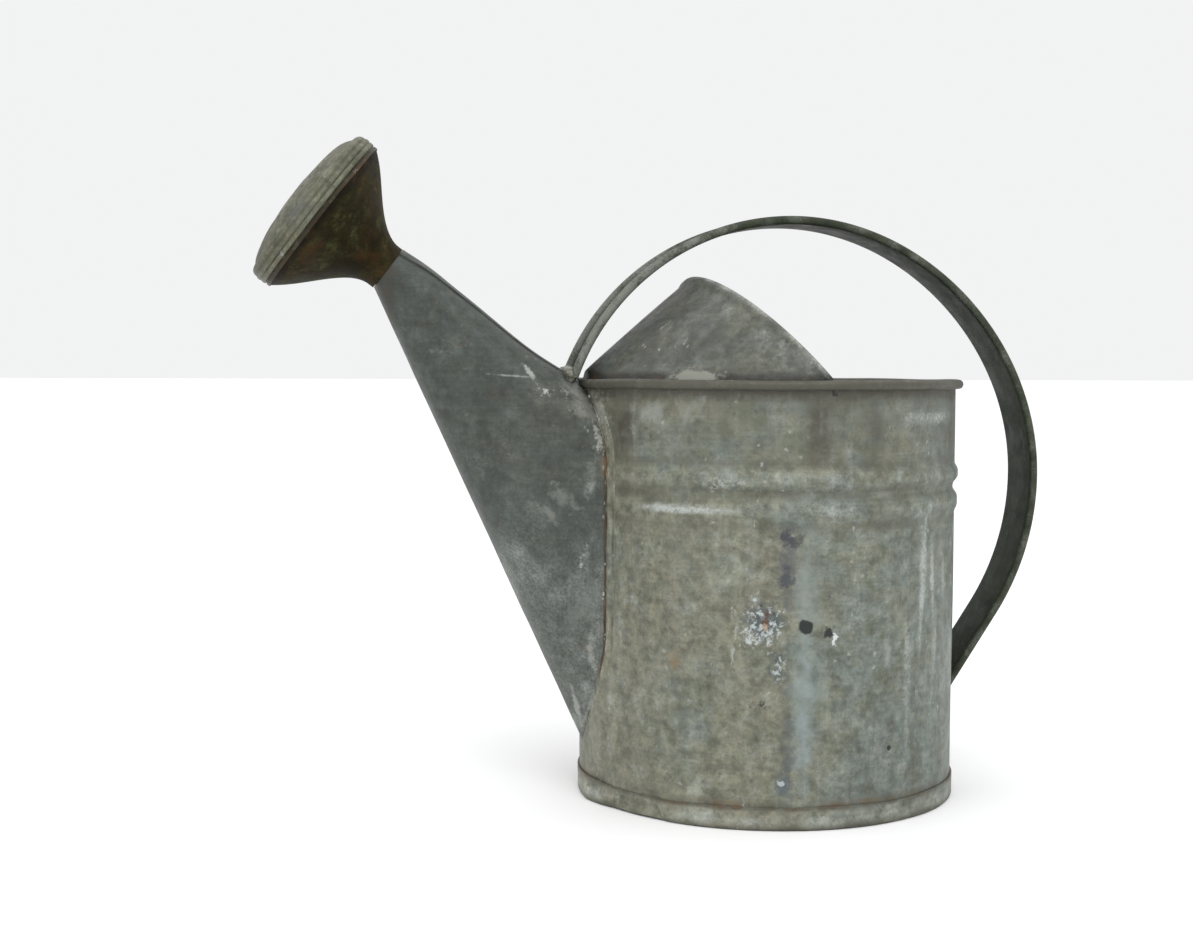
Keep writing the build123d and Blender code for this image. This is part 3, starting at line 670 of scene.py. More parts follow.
def footProfile():
    outer, top, sheet, bent = hoopHigh.x, hoopHigh.z, foot["sheet"], foot["corner"]
    lip = canRadius - foot["lip"]
    corner = arc(outer - bent, bent, bent, -90, 0, 7)
    rise = [(outer, z) for z in np.linspace(3, top - 0.4, 6)]
    edge = [(outer - 0.4, top), (outer - sheet + 0.1, top - 0.1)]
    inside = [(outer - sheet, z) for z in np.linspace(top - 0.5, sheet, 5)]
    return [(lip, 0), *corner, *rise, *edge, *inside, (lip, sheet)]


footMesh = footPaint(revolved("foot", footProfile(), 240, footBend))
addPiece("footHoop", footMesh, "foot", "can", "galvanised_foot", "foot_hoop")

# spout: one tapered sheet with a lapped seam along its top
socketLow, socketHigh = boxOf("rose_socket")
pullAxis = Vector(frame["joints"][0]["axis"]).normalized()
socketLength, socketGap = 16, 0.3
tipCentre = (socketLow + socketHigh) / 2 - pullAxis * (socketLength / 2 + socketGap)
tipUp = Vector((0, 1, 0)).cross(pullAxis).normalized()
tipUp = tipUp if tipUp.z > 0 else -tipUp
spout = dict(
    tipRadius=13.4, rootTop=canTop - 4.5, rootBottom=31, rootWidth=76, sheet=0.9, sag=2.3, swell=1.3,
    seamReach=10, seamEdge=1.5, seamRise=0.8, rows=72, dent=0.45, keel=0.49, keelReach=0.35,
    keelStretch=1.02,
)


def spoutWidth(q):
    return spout["rootWidth"] + (2 * spout["tipRadius"] - spout["rootWidth"]) * q


def spoutSection(q):  # top and bottom point at a share of the way from wall to tip
    wallTop = Vector((-canRadius, 0, spout["rootTop"]))
    wallBase = Vector((-canRadius, 0, spout["rootBottom"]))
    top = wallTop.lerp(tipCentre + tipUp * spout["tipRadius"], q)
    base = wallBase.lerp(tipCentre - tipUp * spout["tipRadius"], q)
    top.z += spout["swell"] * float(bump(q, 0.84, 0.22)) - spout["sag"] * float(bump(q, 0.32, 0.36))
    return top, base


def spoutColumns():  # (kind, value, side) down one side: steps from the seam, shares of arc, flank and arc
    steps = [("seam", spout["seamReach"] + d) for d in (-10, -6, -3, -1, -0.4, 0, 0.4, spout["seamEdge"])]
    for kind, count in (("top", 11), ("flank", 19), ("base", 17)):
        steps += [(kind, t) for t in np.linspace(0, 1, count)[1:]]
    return [(*step, -1) for step in steps]


def otherSide(columns):
    return [(kind, value, 1) for kind, value, _ in reversed(columns)]


def spoutPoint(q, kind, value, side):
    top, base = spoutSection(q)
    width = spoutWidth(q)
    half = width / 2
    up = (top - base).normalized()
    length = max((top - base).length, width + 0.2)
    middle = (top + base) / 2
    upper = middle + up * (length / 2 - half)
    keel = half * (1 + spout["keelStretch"] * (1 - q))
    lower = middle - up * (length / 2 - keel)
    away = Vector((0, side, 0))
    if kind == "flank":
        return upper.lerp(lower, value) + away * half, away
    firstTurn = (spout["seamReach"] + spout["seamEdge"]) / half
    turn = {"seam": value / half, "top": firstTurn + (pi / 2 - firstTurn) * value,
            "base": pi / 2 * (1 + value)}[kind]
    outward = up * cos(turn) + away * sin(turn)
    if kind == "base":  # the underside narrows to a keel where it meets the wall
        sharp = 1 + spout["keel"] * float(ramp(spout["keelReach"], 0, q))
        across, down = abs(sin(turn)) ** sharp, abs(cos(turn)) ** sharp
        return lower + away * across * half - up * down * keel, outward
    lift = 0
    if kind == "seam" and value <= spout["seamReach"]:
        lift = spout["seamRise"] * (1 if side < 0 else 1 - value / spout["seamReach"])
    return upper + outward * (half + lift), outward


def wallShare(column):  # where a line along the spout meets the wall
    def inWall(q):
        p, _ = spoutPoint(q, *column)
        return hypot(p.x, p.y) < canRadius + 0.1

    return crossing(-0.25, 0.5, inWall)


def spoutMesh():
    near = spoutColumns()
    columns = near + otherSide(near[1:-1])
    starts = [wallShare(c) for c in columns]
    rows = []
    for i in range(spout["rows"] + 1):
        row = []
        for start, column in zip(starts, columns):
            q = start + (1 - start) * i / spout["rows"]
            p, outward = spoutPoint(q, *column)
            quiet = float(ramp(0, 0.06, q - start) * ramp(1, 0.9, q))
            p += outward * spout["dent"] * quiet * (noise.noise(p / 45) + 0.4 * noise.noise(p / 18))
            row.append(tuple(p))
        rows.append(row)

    def fromAxis(p):
        q = (canRadius + p.x) / (canRadius + tipCentre.x)
        top, base = spoutSection(min(max(q, 0), 1))
        return p - Vector((p.x, 0, (top.z + base.z) / 2))

    return thicken(gridMesh("spout", rows, closeColumns=True), fromAxis, spout["sheet"], even=False)


def jointLine():  # points round the spout's root on the wall, down the near side and up the far side
    near = spoutColumns()
    points = [spoutPoint(wallShare(c), *c)[0] for c in near + otherSide(near[:-1])]
    return [p - Vector((0, 0, max(0, p.z - rimLevel + rimRoll))) for p in points]


def spoutPaint(mesh):
    p = spots(mesh)
    x, y, height = p.T
    middle, coarse = ripple(p, 11, 31), ripple(p, 36, 32)
    near = np.hypot(jointAway(np.arctan2(y, x), height), np.hypot(x, y) - canRadius)
    share = clamp((x + canRadius) / (tipCentre.x + canRadius))
    crest = spout["rootTop"] + share * (tipCentre.z + tipUp.z * spout["tipRadius"] - spout["rootTop"])
    half = spoutWidth(share) / 2
    fromCrest = half * np.arcsin(np.clip(-y / half, -1, 1))
    onTop = ramp(30, 20, crest - height)
    upper = ramp(62, 96, height) * (1 - 0.85 * ramp(205, 232, height))
    dirt = 0.95 * bump(fromCrest, spout["seamReach"] + 0.6, 1.4) * onTop * (0.75 + middle)  # dark line at the seam's edge, grime and painted shade in the step of the lap
    dirt += 0.4 * clamp(coarse) + 0.8 * (1 - ramp(0, 4, near)) * upper  # clouds, and painted shade with grime along the joint
    dirt += 0.5 * ramp(0.93, 1.0, share)  # tip
    wear = 0.3 * ramp(230, 90, height) + 0.4 * clamp(-coarse - 0.1)  # paler low down, a painted glow of light from the floor, and pale clouds
    wear += 0.4 * bump(fromCrest, 5, 5) * onTop * (0.6 + middle)  # the lap of the seam, worn and with a painted highlight along the crest
    wear += 0.5 * bump(near, 9, 7) * clamp(2 * middle)  # beside the joint
    rust = 0.9 * (1 - ramp(0, 5, near)) * clamp(0.3 + 2 * middle) * upper  # joint and tip
    rust += 0.15 * ramp(0.95, 1, share)
    return paint(mesh, dirt=dirt, wear=wear, rust=rust)


spoutEdge = jointLine()
spoutJoint = [((pi - abs(atan2(p.y, p.x))) * canRadius, p.z) for p in spoutEdge]
addPiece("spoutSheet", spoutPaint(spoutMesh()), "spout", "can", "galvanised_spout", "spout", smoothAngle=30)

# the wall is pierced and painted once the spout's joint is known
tankMesh = tankPaint(strainerHoles(revolved("tank", tankProfile(), tank["segments"], tankBend)))
addPiece("tankWall", tankMesh, "tank", "can", "galvanised_tank", "tank_wall")

# solder: a lapped flange round the spout's root with beads of solder along the joint
flangeSheet = 0.5
blobs = dict(count=130, size=1.2, scatter=1.8, lowest=78.0)
flangeProfile = [
    (-1.5, 0.2), (-0.7, 0.9), (0, 1.0), (0.6, 0.5), (1.4, 0.75), (2.8, 1.05), (4.6, 1.05), (6.4, 0.85),
    (7.6, 0.45), (8.4, 0.1), (9.2, -0.3),
]  # distance from the joint and height on the wall


def flangeMesh():
    flat = np.array([(-atan2(p.y, -p.x) * canRadius, p.z) for p in spoutEdge])
    along = np.gradient(flat, axis=0)
    side = unit(np.stack([along[:, 1], -along[:, 0]], -1))
    centre = np.array([0, (flat[:, 1].max() + flat[:, 1].min()) / 2])
    side *= np.sign(((flat - centre) * side).sum(1, keepdims=True))  # away from the joint's middle
    narrow = 0.35 + 0.65 * ramp(50, 90, flat[:, 1:])  # towards the lower end
    wander = 0.9 * ripple(np.concatenate([flat, 0 * flat[:, :1]], 1), 12, 43)[:, None]  # wavy edge
    rows = []
    for distance, rise in flangeProfile:
        edge = flat + side * (distance * (narrow if distance > 0 else 1) + (wander if distance > 1 else 0))
        level = np.minimum(edge[:, 1], rimLevel - rimRoll + 0.2)
        angle = pi + edge[:, 0] / canRadius
        angle = np.where(angle > pi, angle - 2 * pi, angle)
        if rise > 0:  # lumpy near the joint, thinner at the lower end
            lumps = 0.45 * ripple(roundPoints(angle, canRadius, level), 5, 41) * ramp(6, 1, distance)
            rise = (rise + lumps) * ramp(50, 85, flat[:, 1])
        rows.append(roundPoints(angle, canRadius + wallShift(angle, level) + rise, level))
    mesh = gridMesh("flange", rows)
    p, d = spots(mesh), np.repeat([distance for distance, _ in flangeProfile], len(flat))
    middle = ripple(p, 7, 42)
    patchy = clamp(0.6 + middle)
    high = ramp(190, 235, p[:, 2])
    upper = ramp(64, 96, p[:, 2]) * (1 - 0.8 * high)
    dirt = 1.5 * bump(d, 0.5, 2.2) * (0.85 + 0.6 * middle)  # crack along the joint, grime and painted shade
    dirt += 0.6 * bump(d, 7.8, 2.4) * patchy  # outer edge
    wear = 0.6 * bump(d, 3.4, 3.0) * clamp(0.3 + 1.6 * middle) + 0.5 * high * bump(d, 0, 7) * patchy
    rust = 0.9 * bump(d, 0.4, 2.4) * clamp(0.35 + 2 * middle) * upper
    paint(mesh, dirt=dirt * upper, wear=wear, rust=rust)
    return thicken(mesh, lambda q: Vector((q.x, q.y, 0)), flangeSheet, even=False)


def randomVector(tree, low, high, seed):
    return put(tree, "FunctionNodeRandomValue", low, high, settings={"data_type": "FLOAT_VECTOR"}, Seed=seed)


def blobMesh():
    line = curveObject("jointLine", spoutEdge)

    def build(tree, given):
        guide = put(tree, "GeometryNodeObjectInfo", Object=given["line"], output="Geometry")
        beads = put(tree, "GeometryNodeCurveToPoints", guide, given["count"], settings={"mode": "COUNT"})
        level = put(tree, "ShaderNodeSeparateXYZ", put(tree, "GeometryNodeInputPosition"), output=2)
        tooLow = calc("LESS_THAN", level, given["lowest"])
        kept = put(tree, "GeometryNodeDeleteGeometry", beads, Selection=tooLow)
        stray = vector("SCALE", randomVector(tree, (-1, -1, -1), (1, 1, 1), 4), Scale=given["scatter"])
        laid = put(tree, "GeometryNodeSetPosition", kept, Offset=stray)
        ball = put(tree, "GeometryNodeMeshIcoSphere", Radius=given["size"], Subdivisions=2)
        vary = randomVector(tree, (0.35, 0.35, 0.5), (1.0, 1.0, 1.7), 7)
        return put(tree, "GeometryNodeInstanceOnPoints", laid, Instance=ball, Scale=vary)

    mesh = bpy.data.meshes.new("blobs")
    mesh = shaped("solderBlobs", mesh, build, line=line, finish=finish["solder"], **blobs)
    bpy.data.objects.remove(line)
    return mesh


addPiece("spoutFlange", flangeMesh(), "seam", "can", "solder", "spout_solder")
addPiece("spoutBlobs", blobMesh(), "solder", "can", "solder")


def frontSolderMesh():
    low, high = boxOf("front_solder")

    def build(tree, given):
        ball = put(tree, "GeometryNodeMeshIcoSphere", Radius=1.0, Subdivisions=5)
        sized = put(tree, "GeometryNodeTransform", ball, Scale=given["size"], Translation=given["middle"])
        rough = put(tree, "ShaderNodeTexNoise", Scale=170.0, Detail=3.0)
        push = times(minus(rough, 0.5), times(given["lumps"], 4.0))
        offset = vector("SCALE", put(tree, "GeometryNodeInputNormal"), Scale=push)
        return put(tree, "GeometryNodeSetPosition", sized, Offset=offset)

    return shaped("solderLump", bpy.data.meshes.new("lump"), build, lumps=1.0, finish=finish["solder"],
                  middle=tuple((low + high) / 2 + Vector((1.5, 0, -1.5))),
                  size=tuple((high - low) / 2 + Vector((1, 0, 1))))


addPiece("frontSolder", frontSolderMesh(), "solder", "can", "solder", "front_solder")

# hood: half a vault inside the rim, with a folded hem on its free edge
hood = dict(
    slope=0.851, step=7, depth=66, mouth=10, skirt=6, hemRise=1.2, hemStart=10, sheet=1, columns=96,
    rows=40, dent=0.5, radius=canRadius - canSheet - lap,
)
hood["apex"] = hood["depth"] - hood["radius"]
hood["apexRise"] = hood["step"] + hood["slope"] * hood["depth"]
# distance from the free edge and lift of the folded hem
hemSteps = [(8, 0), (6.8, 0.1), (5.6, 0.5), (4.4, 0.88), (3.2, 1), (1.2, 1), (0.4, 0.8), (0, 0.4)]


def archPoint(x, share):
    half = sqrt(max(hood["radius"] ** 2 - x * x, 0.001))
    crown = hood["step"] + hood["slope"] * (x + hood["radius"])
    bow = (half * half + crown * crown) / (2 * crown)
    turn = asin(min(1, half / bow))
    turn = (pi - turn if crown > bow else turn) * share
    return Vector((x, bow * sin(turn), rimLevel + crown - bow + bow * cos(turn)))


def freeEdge(rise):  # the plane of the free edge
    return hood["mouth"] + (hood["apex"] - hood["mouth"]) * rise / hood["apexRise"]


def hoodColumn(share):  # points of one line of the vault, up to the plane of the free edge
    front = -hood["radius"] + 1
    end = crossing(front, hood["mouth"] + 1, lambda x: x < freeEdge(archPoint(x, share).z - rimLevel))
    line = np.array([archPoint(front + (end - front) * t, share) for t in np.linspace(0, 1, 240) ** 2])
    lengths = np.concatenate([[0], np.cumsum(np.linalg.norm(np.diff(line, axis=0), axis=1))])
    stops = (lengths[-1] - hood["hemStart"]) * np.linspace(0, 1, hood["rows"] + 1) ** 1.4
    stops = [*stops, *(lengths[-1] - back for back, _ in hemSteps)]
    return np.stack([np.interp(stops, lengths, line[:, k]) for k in range(3)], -1)


def hoodMesh():
    points = np.stack([hoodColumn(share) for share in np.linspace(-1, 1, hood["columns"] + 1)], 1)
    lifts = np.array([0] * (hood["rows"] + 1) + [lift for _, lift in hemSteps])[:, None]
    normals = np.cross(np.gradient(points, axis=0), np.gradient(points, axis=1))
    normals /= np.linalg.norm(normals, axis=-1, keepdims=True) + 1e-6
    normals *= np.sign(normals[..., 2:3] + 1e-9)
    calm = ramp(0, 14, points[..., 2] - rimLevel)
    lifts = lifts * hood["hemRise"] + calm * hood["dent"] * ripple(points, 50, 2)
    points = points + normals * lifts[..., None]

    def lowered(line):  # the skirt inside the rim
        line = line.copy()
        line[..., 2] = rimLevel - hood["skirt"]
        return line

    points = np.concatenate([lowered(points[:, :1]), points, lowered(points[:, -1:])], 1)
    sheet = gridMesh("hood", np.concatenate([lowered(points[:1]), points], 0))
    inTank = Vector((20, 0, rimLevel - 60))  # a point under the vault
    return thicken(sheet, lambda p: p - inTank, hood["sheet"])


def hoodPaint(mesh):
    p = spots(mesh)
    middle, coarse = ripple(p, 12, 51), ripple(p, 30, 52)
    x, y, rise = p[:, 0], p[:, 1], p[:, 2] - rimLevel
    edge = freeEdge(rise) - x
    dirt = 0.85 * ramp(9, 3, rise) + 0.7 * bump(y, 0, 16) * ramp(45, 10, rise)  # dark at the rim, and painted shade with grime round the handle's foot
    # painted shade along the crest, where the vault turns away, and clouds
    dirt += 0.5 * bump(y, 0, 10) + 0.55 * clamp(coarse + 0.05) + 0.3 * clamp(middle)
    wear = 0.75 * bump(edge, 1, 4) * (0.6 + middle) + 0.35 * clamp(-coarse - 0.05)  # hem and clouds
    wear += 0.4 * bump(edge, 14, 12) * clamp(2 * middle)
    return paint(mesh, dirt=dirt, wear=wear, rust=0.4 * ramp(7, 3, rise) * clamp(2 * middle))


addPiece("hoodVault", hoodPaint(hoodMesh()), "hood", "can", "galvanised_hood", "hood", smoothAngle=42)

# handle: a strap with both edges rolled over wires, swept along its line
strapLow, strapHigh = boxOf("handle_strap")
handle = dict(
    roll=2.6, sheet=0.9, topPlace=12.5, shoulder=0.53, frontReach=10.5, frontRise=1.5, footLevel=57,
    tailTurn=radians(33), tailSink=8, tongueWidth=26, tongueLength=30, tongueCorner=7, tongueGap=0.25,
    width=strapHigh.y - strapLow.y, top=strapHigh.z,
)


def handleLine():
    roll, topX, topZ = handle["roll"], handle["topPlace"], handle["top"]
    run = canRadius + handle["frontReach"] + topX
    drop = topZ - canTop - handle["frontRise"]
    frontRadius = (run * run + drop * drop) / (2 * drop)
    startTurn = degrees(atan2(frontRadius - drop, -run))
    front = arc(topX, topZ - frontRadius, frontRadius - roll, startTurn, 90, 70)
    turn = handle["tailTurn"]
    reach = (canRadius - topX) * cos(turn) + (topZ - handle["footLevel"]) * sin(turn)
    rear = reach / (1 + sin(turn))
    path, pull = rear - roll, handle["shoulder"] * (rear - roll)
    back, centreZ = topX + path, topZ - rear
    crest = topZ - roll
    shoulder = bezier((topX, crest), (topX + pull, crest), (back, centreZ + pull), (back, centreZ), 70)
    lower = arc(topX, centreZ, path, 0, -degrees(turn), 26)
    length = (lower[-1][0] - canRadius + handle["tailSink"]) / sin(turn)
    tail = lower[-1] + np.array([-sin(turn), -cos(turn)]) * np.linspace(0, length, 16)[:, None]
    return np.concatenate([front, shoulder[1:], lower[1:], tail[1:]])


def strapOutline():  # the strap's section: a sheet whose edges curl up and round
    roll, centre = handle["roll"], handle["width"] / 2 - handle["roll"]
    right = arc(centre, 0, roll, -90, 212, 22) + arc(centre, 0, roll - handle["sheet"], 212, -90, 22)
    left = [(-x, y) for x, y in reversed(right)]
    return [(x, -y) for x, y in right + left]


def handleMesh():
    line = curveObject("handleLine", [(x, 0, z) for x, z in handleLine()])
    section = curveObject("handleSection", [(x, y, 0) for x, y in strapOutline()], closed=True)

    def build(tree, given):
        path, outline = (put(tree, "GeometryNodeObjectInfo", Object=given[key], output="Geometry")
                         for key in ("line", "section"))
        swept = put(tree, "GeometryNodeCurveToMesh", path, Profile_Curve=outline, Fill_Caps=True)
        height = given["wallHeight"]
        drum = put(tree, "GeometryNodeMeshCylinder", Vertices=128, Radius=given["wallRadius"], Depth=height)
        lift = put(tree, "ShaderNodeCombineXYZ", Z=times(height, 0.5))
        return cutBy(swept, put(tree, "GeometryNodeTransform", drum, Translation=lift))

    mesh = shaped("handleSweep", bpy.data.meshes.new("handle"), build, line=line, section=section,
                  wallRadius=canRadius + lap, wallHeight=rimLevel - 8, finish=finish["handle"])
    for guide in (line, section):
        bpy.data.objects.remove(guide)
    return closeShell(mesh)


def tongueMesh():  # the flat end riveted to the wall
    top = handle["footLevel"] + 2 * handle["roll"] / sin(handle["tailTurn"])
    bottom, corner = top - handle["tongueLength"], handle["tongueCorner"]
    reach = canRadius + lap + handle["sheet"] + handle["tongueGap"]
    rows = []
    for z in np.linspace(bottom, top, 22):
        square = min(1, (z - bottom) / corner)
        half = handle["tongueWidth"] / 2 - corner * (1 - sqrt(1 - (1 - square) ** 2))
        rows.append([(reach * cos(a), reach * sin(a), z) for a in np.linspace(-half, half, 15) / canRadius])
    return thicken(gridMesh("tongue", rows), lambda p: Vector((1, 0, 0)), handle["sheet"])


def joined(first, second):
    work = bmesh.new()
    work.from_mesh(first)
    work.from_mesh(second)
    work.to_mesh(first)
    work.free()
    return first


def handlePaint(mesh):
    p = spots(mesh)
    flat, line = p[:, [0, 2]], handleLine()
    nearest = np.argmin(((flat[:, None] - line[None, ::2]) ** 2).sum(-1), axis=1) * 2
    along = unit(np.gradient(line, axis=0))[nearest]
    offset = flat - line[nearest]
    outward = along[:, 0] * offset[:, 1] - along[:, 1] * offset[:, 0]
    middle, coarse = ripple(p, 8, 61), ripple(p, 40, 62)
    half, roll, across = handle["width"] / 2, handle["roll"], np.abs(p[:, 1])
    front = ramp(0, -100, p[:, 0])  # 1 at the front foot
    groove = ramp(half - 2 * roll, half - 2.6 * roll, across)  # the flat between the rolled edges
    wear = 0.32 * bump(across, half, 3.5) * (0.6 + middle)  # rubbed edges
    wear += 0.85 * front * (0.9 + 0.3 * middle) + 0.2 * clamp(coarse)  # pale front
    # painted shade on the inner face between the rolled edges at the front, and clouds further back
    dirt = 0.85 * groove * (outward > -1.5) * front + 0.35 * clamp(-coarse) * (1 - front)
    dirt += 0.55 * (outward < -1.5) * (1 - 0.7 * front) * (0.9 + middle)  # painted shade on the underside
    return paint(mesh, wear=wear, dirt=dirt)


handleWhole = handlePaint(joined(handleMesh(), tongueMesh()))
addPiece("handleStrap", handleWhole, "handle", "can", "dark_handle", "handle_strap")


# rivets: two domed heads outside and their tails inside
def rivetMesh():
    low, high = boxOf("rear_rivets")
    radius, depth = (high.y - low.y) / 2, 2.0
    places = [(x, 0, z) for x in (high.x - depth, low.x + depth) for z in (low.z + radius, high.z - radius)]
    points = bpy.data.meshes.new("rivets")
    points.from_pydata([Vector(p) * mm for p in places], [], [])

    def build(tree, given):
        head = put(tree, "GeometryNodeMeshUVSphere", Segments=24, Rings=12, Radius=1.0)
        dome = put(tree, "GeometryNodeTransform", head, Scale=given["head"])
        return put(tree, "GeometryNodeInstanceOnPoints", given["Geometry"], Instance=dome)

    return shaped("rivetHeads", points, build, head=(depth + 0.2, radius, radius), finish=finish["plain"])


addPiece("rearRivets", rivetMesh(), "plain", "can", "rivet_steel", "rear_rivets")

# rose: a trumpet cone, a stepped rim and a pierced dome, all about the nozzle's axis
rose = dict(neck=14.0, depth=49.4, rim=50.5, sheet=0.8, band=11, dome=9.4, flange=2.5, neckLength=4, gap=0.3,
            hole=2.2, pitch=7.0, rings=5, seat=1.05)
roseFrame = Matrix((tipUp, pullAxis.cross(tipUp), pullAxis)).transposed().to_4x4()
roseFrame.translation = tipCentre * mm


def aboutNozzle(mesh):
    mesh.transform(roseFrame)
    return rosePaint(closeShell(mesh))


def rosePaint(mesh):
    local = spots(mesh) - np.array(tipCentre)
    along = local @ np.array(pullAxis)
    past = along - rose["depth"]  # from the seam between cone and rim
    middle, coarse = ripple(local, 9, 71), ripple(local, 24, 72)
    dirt = 0.95 * bump(past, 0, 0.9) + 0.55 * bump(past, 3.4, 1.0) + 0.5 * bump(past, 7, 1.6)  # grime and painted shade in the grooves
    dirt += 0.6 * clamp(coarse) + 0.35 * clamp(middle)
    dirt += 0.9 * ramp(-0.2, -0.5, past) * ramp(-8, -3, past)  # painted shade on the cone's collar below the seam
    wear = 0.5 * clamp(-coarse - 0.1)
    rust = 0.8 * ramp(14, 3, along) * clamp(0.5 + 2 * middle)  # neck and collar
    rust += 0.7 * bump(past, -3, 4) * clamp(0.2 + 2 * coarse)
    return paint(mesh, dirt=dirt, wear=wear, rust=rust)


def coneMesh():
    neck, start, end = rose["neck"], rose["gap"] + rose["neckLength"], rose["depth"] - rose["flange"]
    wide, run = rose["rim"] - rose["seat"], end - start
    flare = wide - neck
    curve = bezier((neck, start), (neck + 0.04 * flare, start + 0.34 * run),
                   (neck + 0.62 * flare, start + 0.6 * run), (wide, end), 40)
    line = np.concatenate([[(neck, rose["gap"])], curve, [(wide, rose["depth"])]])
    slope = np.gradient(line, axis=0)
    inner = line + unit(np.stack([-slope[:, 1], slope[:, 0]], -1)) * rose["sheet"]

    def bend(angle, radius, height):
        free = ramp(6, 20, height) * ramp(rose["depth"], rose["depth"] - 10, height)
        return radius + free * 0.7 * ripple(roundPoints(angle, radius, height), 32, 8), height

    return aboutNozzle(revolved("cone", np.concatenate([line, inner[::-1]]), 160, bend))


def rimMesh():
    inner, outer = rose["rim"] - 1, rose["rim"]
    low, seam, top = rose["depth"] - rose["flange"], rose["depth"], rose["depth"] + rose["band"]
    outline = [(inner, low), (outer - 0.3, low), (outer, low + 0.3), (outer, seam - 0.5)]  # collar
    outline += [(outer - 0.55, seam - 0.2), (outer - 0.55, seam + 0.3), (outer + 0.1, seam + 0.6)]  # groove
    for start, rise in ((seam + 0.6, 0.45), (seam + 3.6, 0.65)):  # two soft ridges
        turns = np.linspace(0.2, pi - 0.2, 8)
        outline += [(outer + rise * sin(a), start + 1.4 * (1 - cos(a))) for a in turns]
    turns = np.radians(np.linspace(0, 90, 9))
    outline += [(outer - 3.4 * (1 - cos(a)), top - 3.6 * (1 - sin(a))) for a in turns]  # rounded top
    outline += [(inner - 2.2, top - 1), (inner, top - 3)]

    def bend(angle, radius, height):
        return radius + 0.35 * ringWave(angle, 0.4, 4), height + 0.3 * ringWave(angle, 0.6, 5)

    return aboutNozzle(revolved("rim", outline, 180, bend))


def faceMesh():
    sheet, dome, lip = rose["sheet"], rose["dome"], rose["rim"] - rose["seat"]
    level = rose["depth"] + rose["band"] - rose["seat"]
    edge = rose["rim"] - 2.5 - sheet
    middle = 0.4  # a small opening keeps the outline clear of the axis
    outside = bezier((middle, level + dome), (edge / 2, level + dome), (0.88 * edge, level + 0.75 * dome),
                     (edge, level), 26)
    outline = [*outside, (lip, level), (lip, level - sheet), (edge - sheet, level - sheet)]
    outline += [(max(r - 0.5 * sheet, middle), z - sheet) for r, z in outside[-2::-1]]

    def bend(angle, radius, height):
        wave = ripple(roundPoints(angle, radius, 0 * angle), 26, 6)
        return radius, height + 1.3 * wave * ramp(edge, edge - 8, radius)

    def build(tree, given):  # rings of six, twelve, eighteen holes and so on round the first
        rings = given["rings"]
        count = timesPlus(times(rings, plus(rings, 1.0)), 3.0, 1.0)
        index = put(tree, "GeometryNodeInputIndex")
        root = calc("SQRT", timesPlus(index, 12.0, 9.0))
        ring = calc("CEIL", minus(over(minus(root, 3.0), 6.0), 0.001))
        before = times(times(ring, minus(ring, 1.0)), 3.0)
        turn = over(times(minus(index, before), pi / 3), calc("MAXIMUM", ring, 1.0))
        out = times(ring, given["pitch"])
        x, y = times(out, calc("COSINE", turn)), times(out, calc("SINE", turn))
        spot = put(tree, "ShaderNodeCombineXYZ", x, y, given["level"])
        points = put(tree, "GeometryNodePoints", Count=count)
        laid = put(tree, "GeometryNodeSetPosition", points, Position=spot)
        return cutBy(given["Geometry"], drillsOn(laid, given, 12))

    plain = revolved("face", outline, 96, bend)
    pierced = shaped("rosePerforations", plain, build, holeRadius=rose["hole"] / 2, pitch=rose["pitch"],
                     rings=rose["rings"], level=level, reach=4 * dome, finish=finish["cap"])
    return aboutNozzle(pierced)


addPiece("roseCone", coneMesh(), "cone", "rose", "rusted_rose", "rose_cone")
addPiece("roseRim", rimMesh(), "cap", "rose", "rose_cap", "rose_rim")
addPiece("roseFace", faceMesh(), "cap", "rose", "rose_cap", "rose_face")

# inner pieces keep their own shapes and get a finish
innerFinish = dict(base_plate="plain", rim_wire="wire", handle_wire_near="wire", handle_wire_far="wire",
                   spout_nozzle="spout", rose_socket="cone")
for nodeName, finishName in innerFinish.items():
    for slot in frame["nodes"][nodeName].material_slots:
        slot.material = finish[finishName]

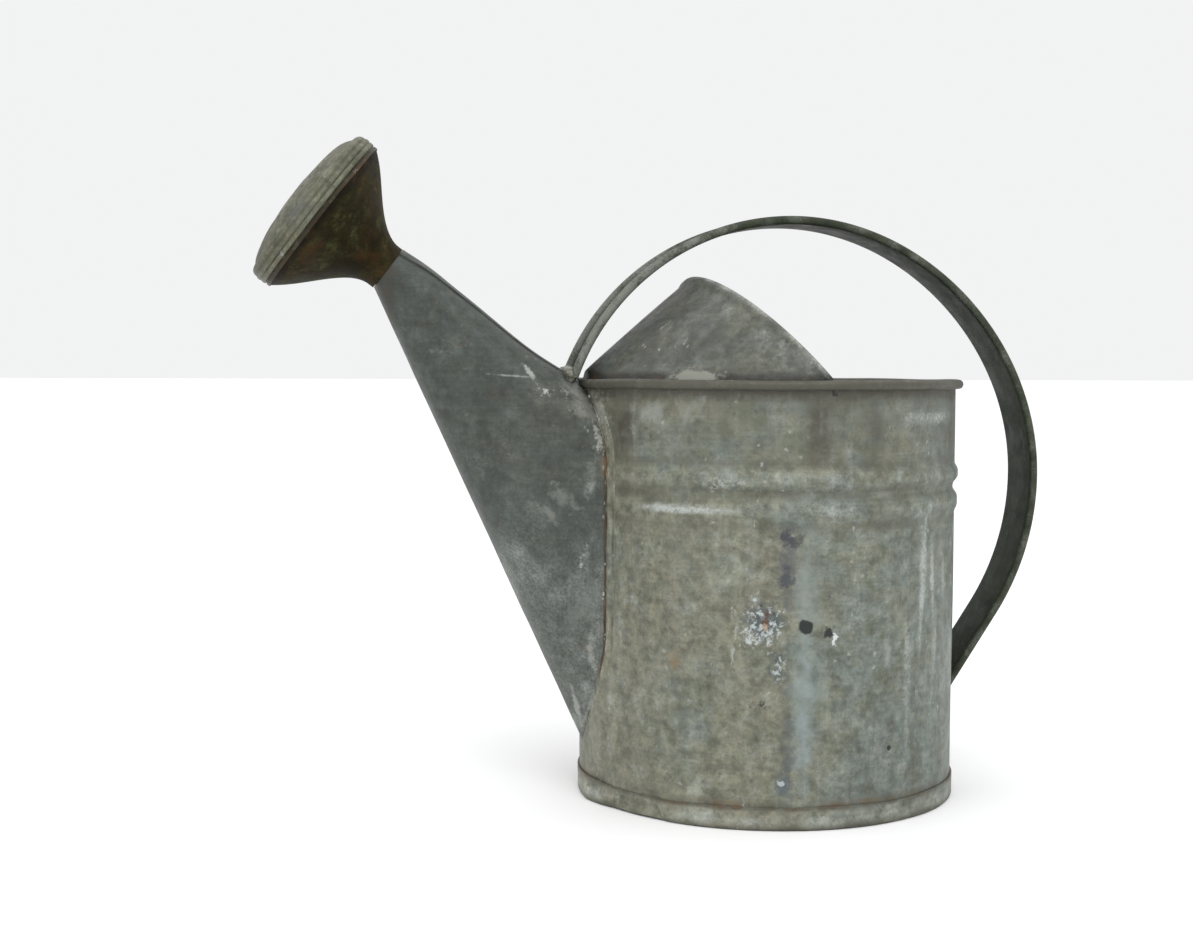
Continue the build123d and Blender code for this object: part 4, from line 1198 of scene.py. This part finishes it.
# camera at the photograph's place
view = dict(
    place=(-0.2846, -1.0261, 0.2567), yaw=-9.946, pitch=3.644, roll=0.216, focal=1739, imageWidth=1193,
)
camera = bpy.data.cameras.new("camera")
camera.sensor_fit = "HORIZONTAL"
camera.sensor_width = 36
camera.lens = view["focal"] / view["imageWidth"] * camera.sensor_width
cameraObject = linked("camera", camera)
aim = Matrix.Rotation(radians(90 - view["pitch"]), 4, "X") @ Matrix.Rotation(radians(view["roll"]), 4, "Z")
turned = Matrix.Rotation(radians(view["yaw"]), 4, "Z") @ aim
cameraObject.matrix_world = Matrix.Translation(view["place"]) @ turned
bpy.context.scene.camera = cameraObject

# pale floor and soft light
floorSpan = 30
floorMesh = bpy.data.meshes.new("floor")
floorCorners = [(x * floorSpan, y * floorSpan, 0) for x, y in ((-1, -1), (1, -1), (1, 1), (-1, 1))]
floorMesh.from_pydata(floorCorners, [], [(0, 1, 2, 3)])
floorPaint = bpy.data.materials.new("paleFloor")
floorPaint.use_nodes = True
floorShader = floorPaint.node_tree.nodes["Principled BSDF"].inputs
floorShader["Base Color"].default_value = (0.9, 0.9, 0.9, 1)
floorShader["Roughness"].default_value = 0.9
floorMesh.materials.append(floorPaint)
floor = linked("floor", floorMesh)


def softLight(name, place, size, power, target=(0, 0, 0.15)):
    lamp = bpy.data.lights.new(name, "AREA")
    lamp.size = size
    lamp.energy = power
    lampObject = linked(name, lamp)
    lampObject.location = place
    lampObject.rotation_euler = (Vector(target) - Vector(place)).to_track_quat("-Z", "Y").to_euler()


softLight("keyLight", (0.2, -1.8, 1.9), 1.6, 17)
softLight("fillLight", (-1.8, -1.2, 1.2), 1.4, 6)
world = bpy.data.worlds.new("studio")
world.use_nodes = True
sky = world.node_tree
skyShader = sky.nodes["Background"].inputs
direction = put(sky, "ShaderNodeTexCoord", output="Generated")
overhead = span(put(sky, "ShaderNodeSeparateXYZ", direction, output=2), 0.3, 0.9)
connect(timesPlus(overhead, 0.55, 0.9), skyShader["Strength"])
skyShader["Color"].default_value = (0.99, 0.993, 1.0, 1)
bpy.context.scene.world = world
bpy.context.scene.view_settings.view_transform = "Standard"
print("stage set")
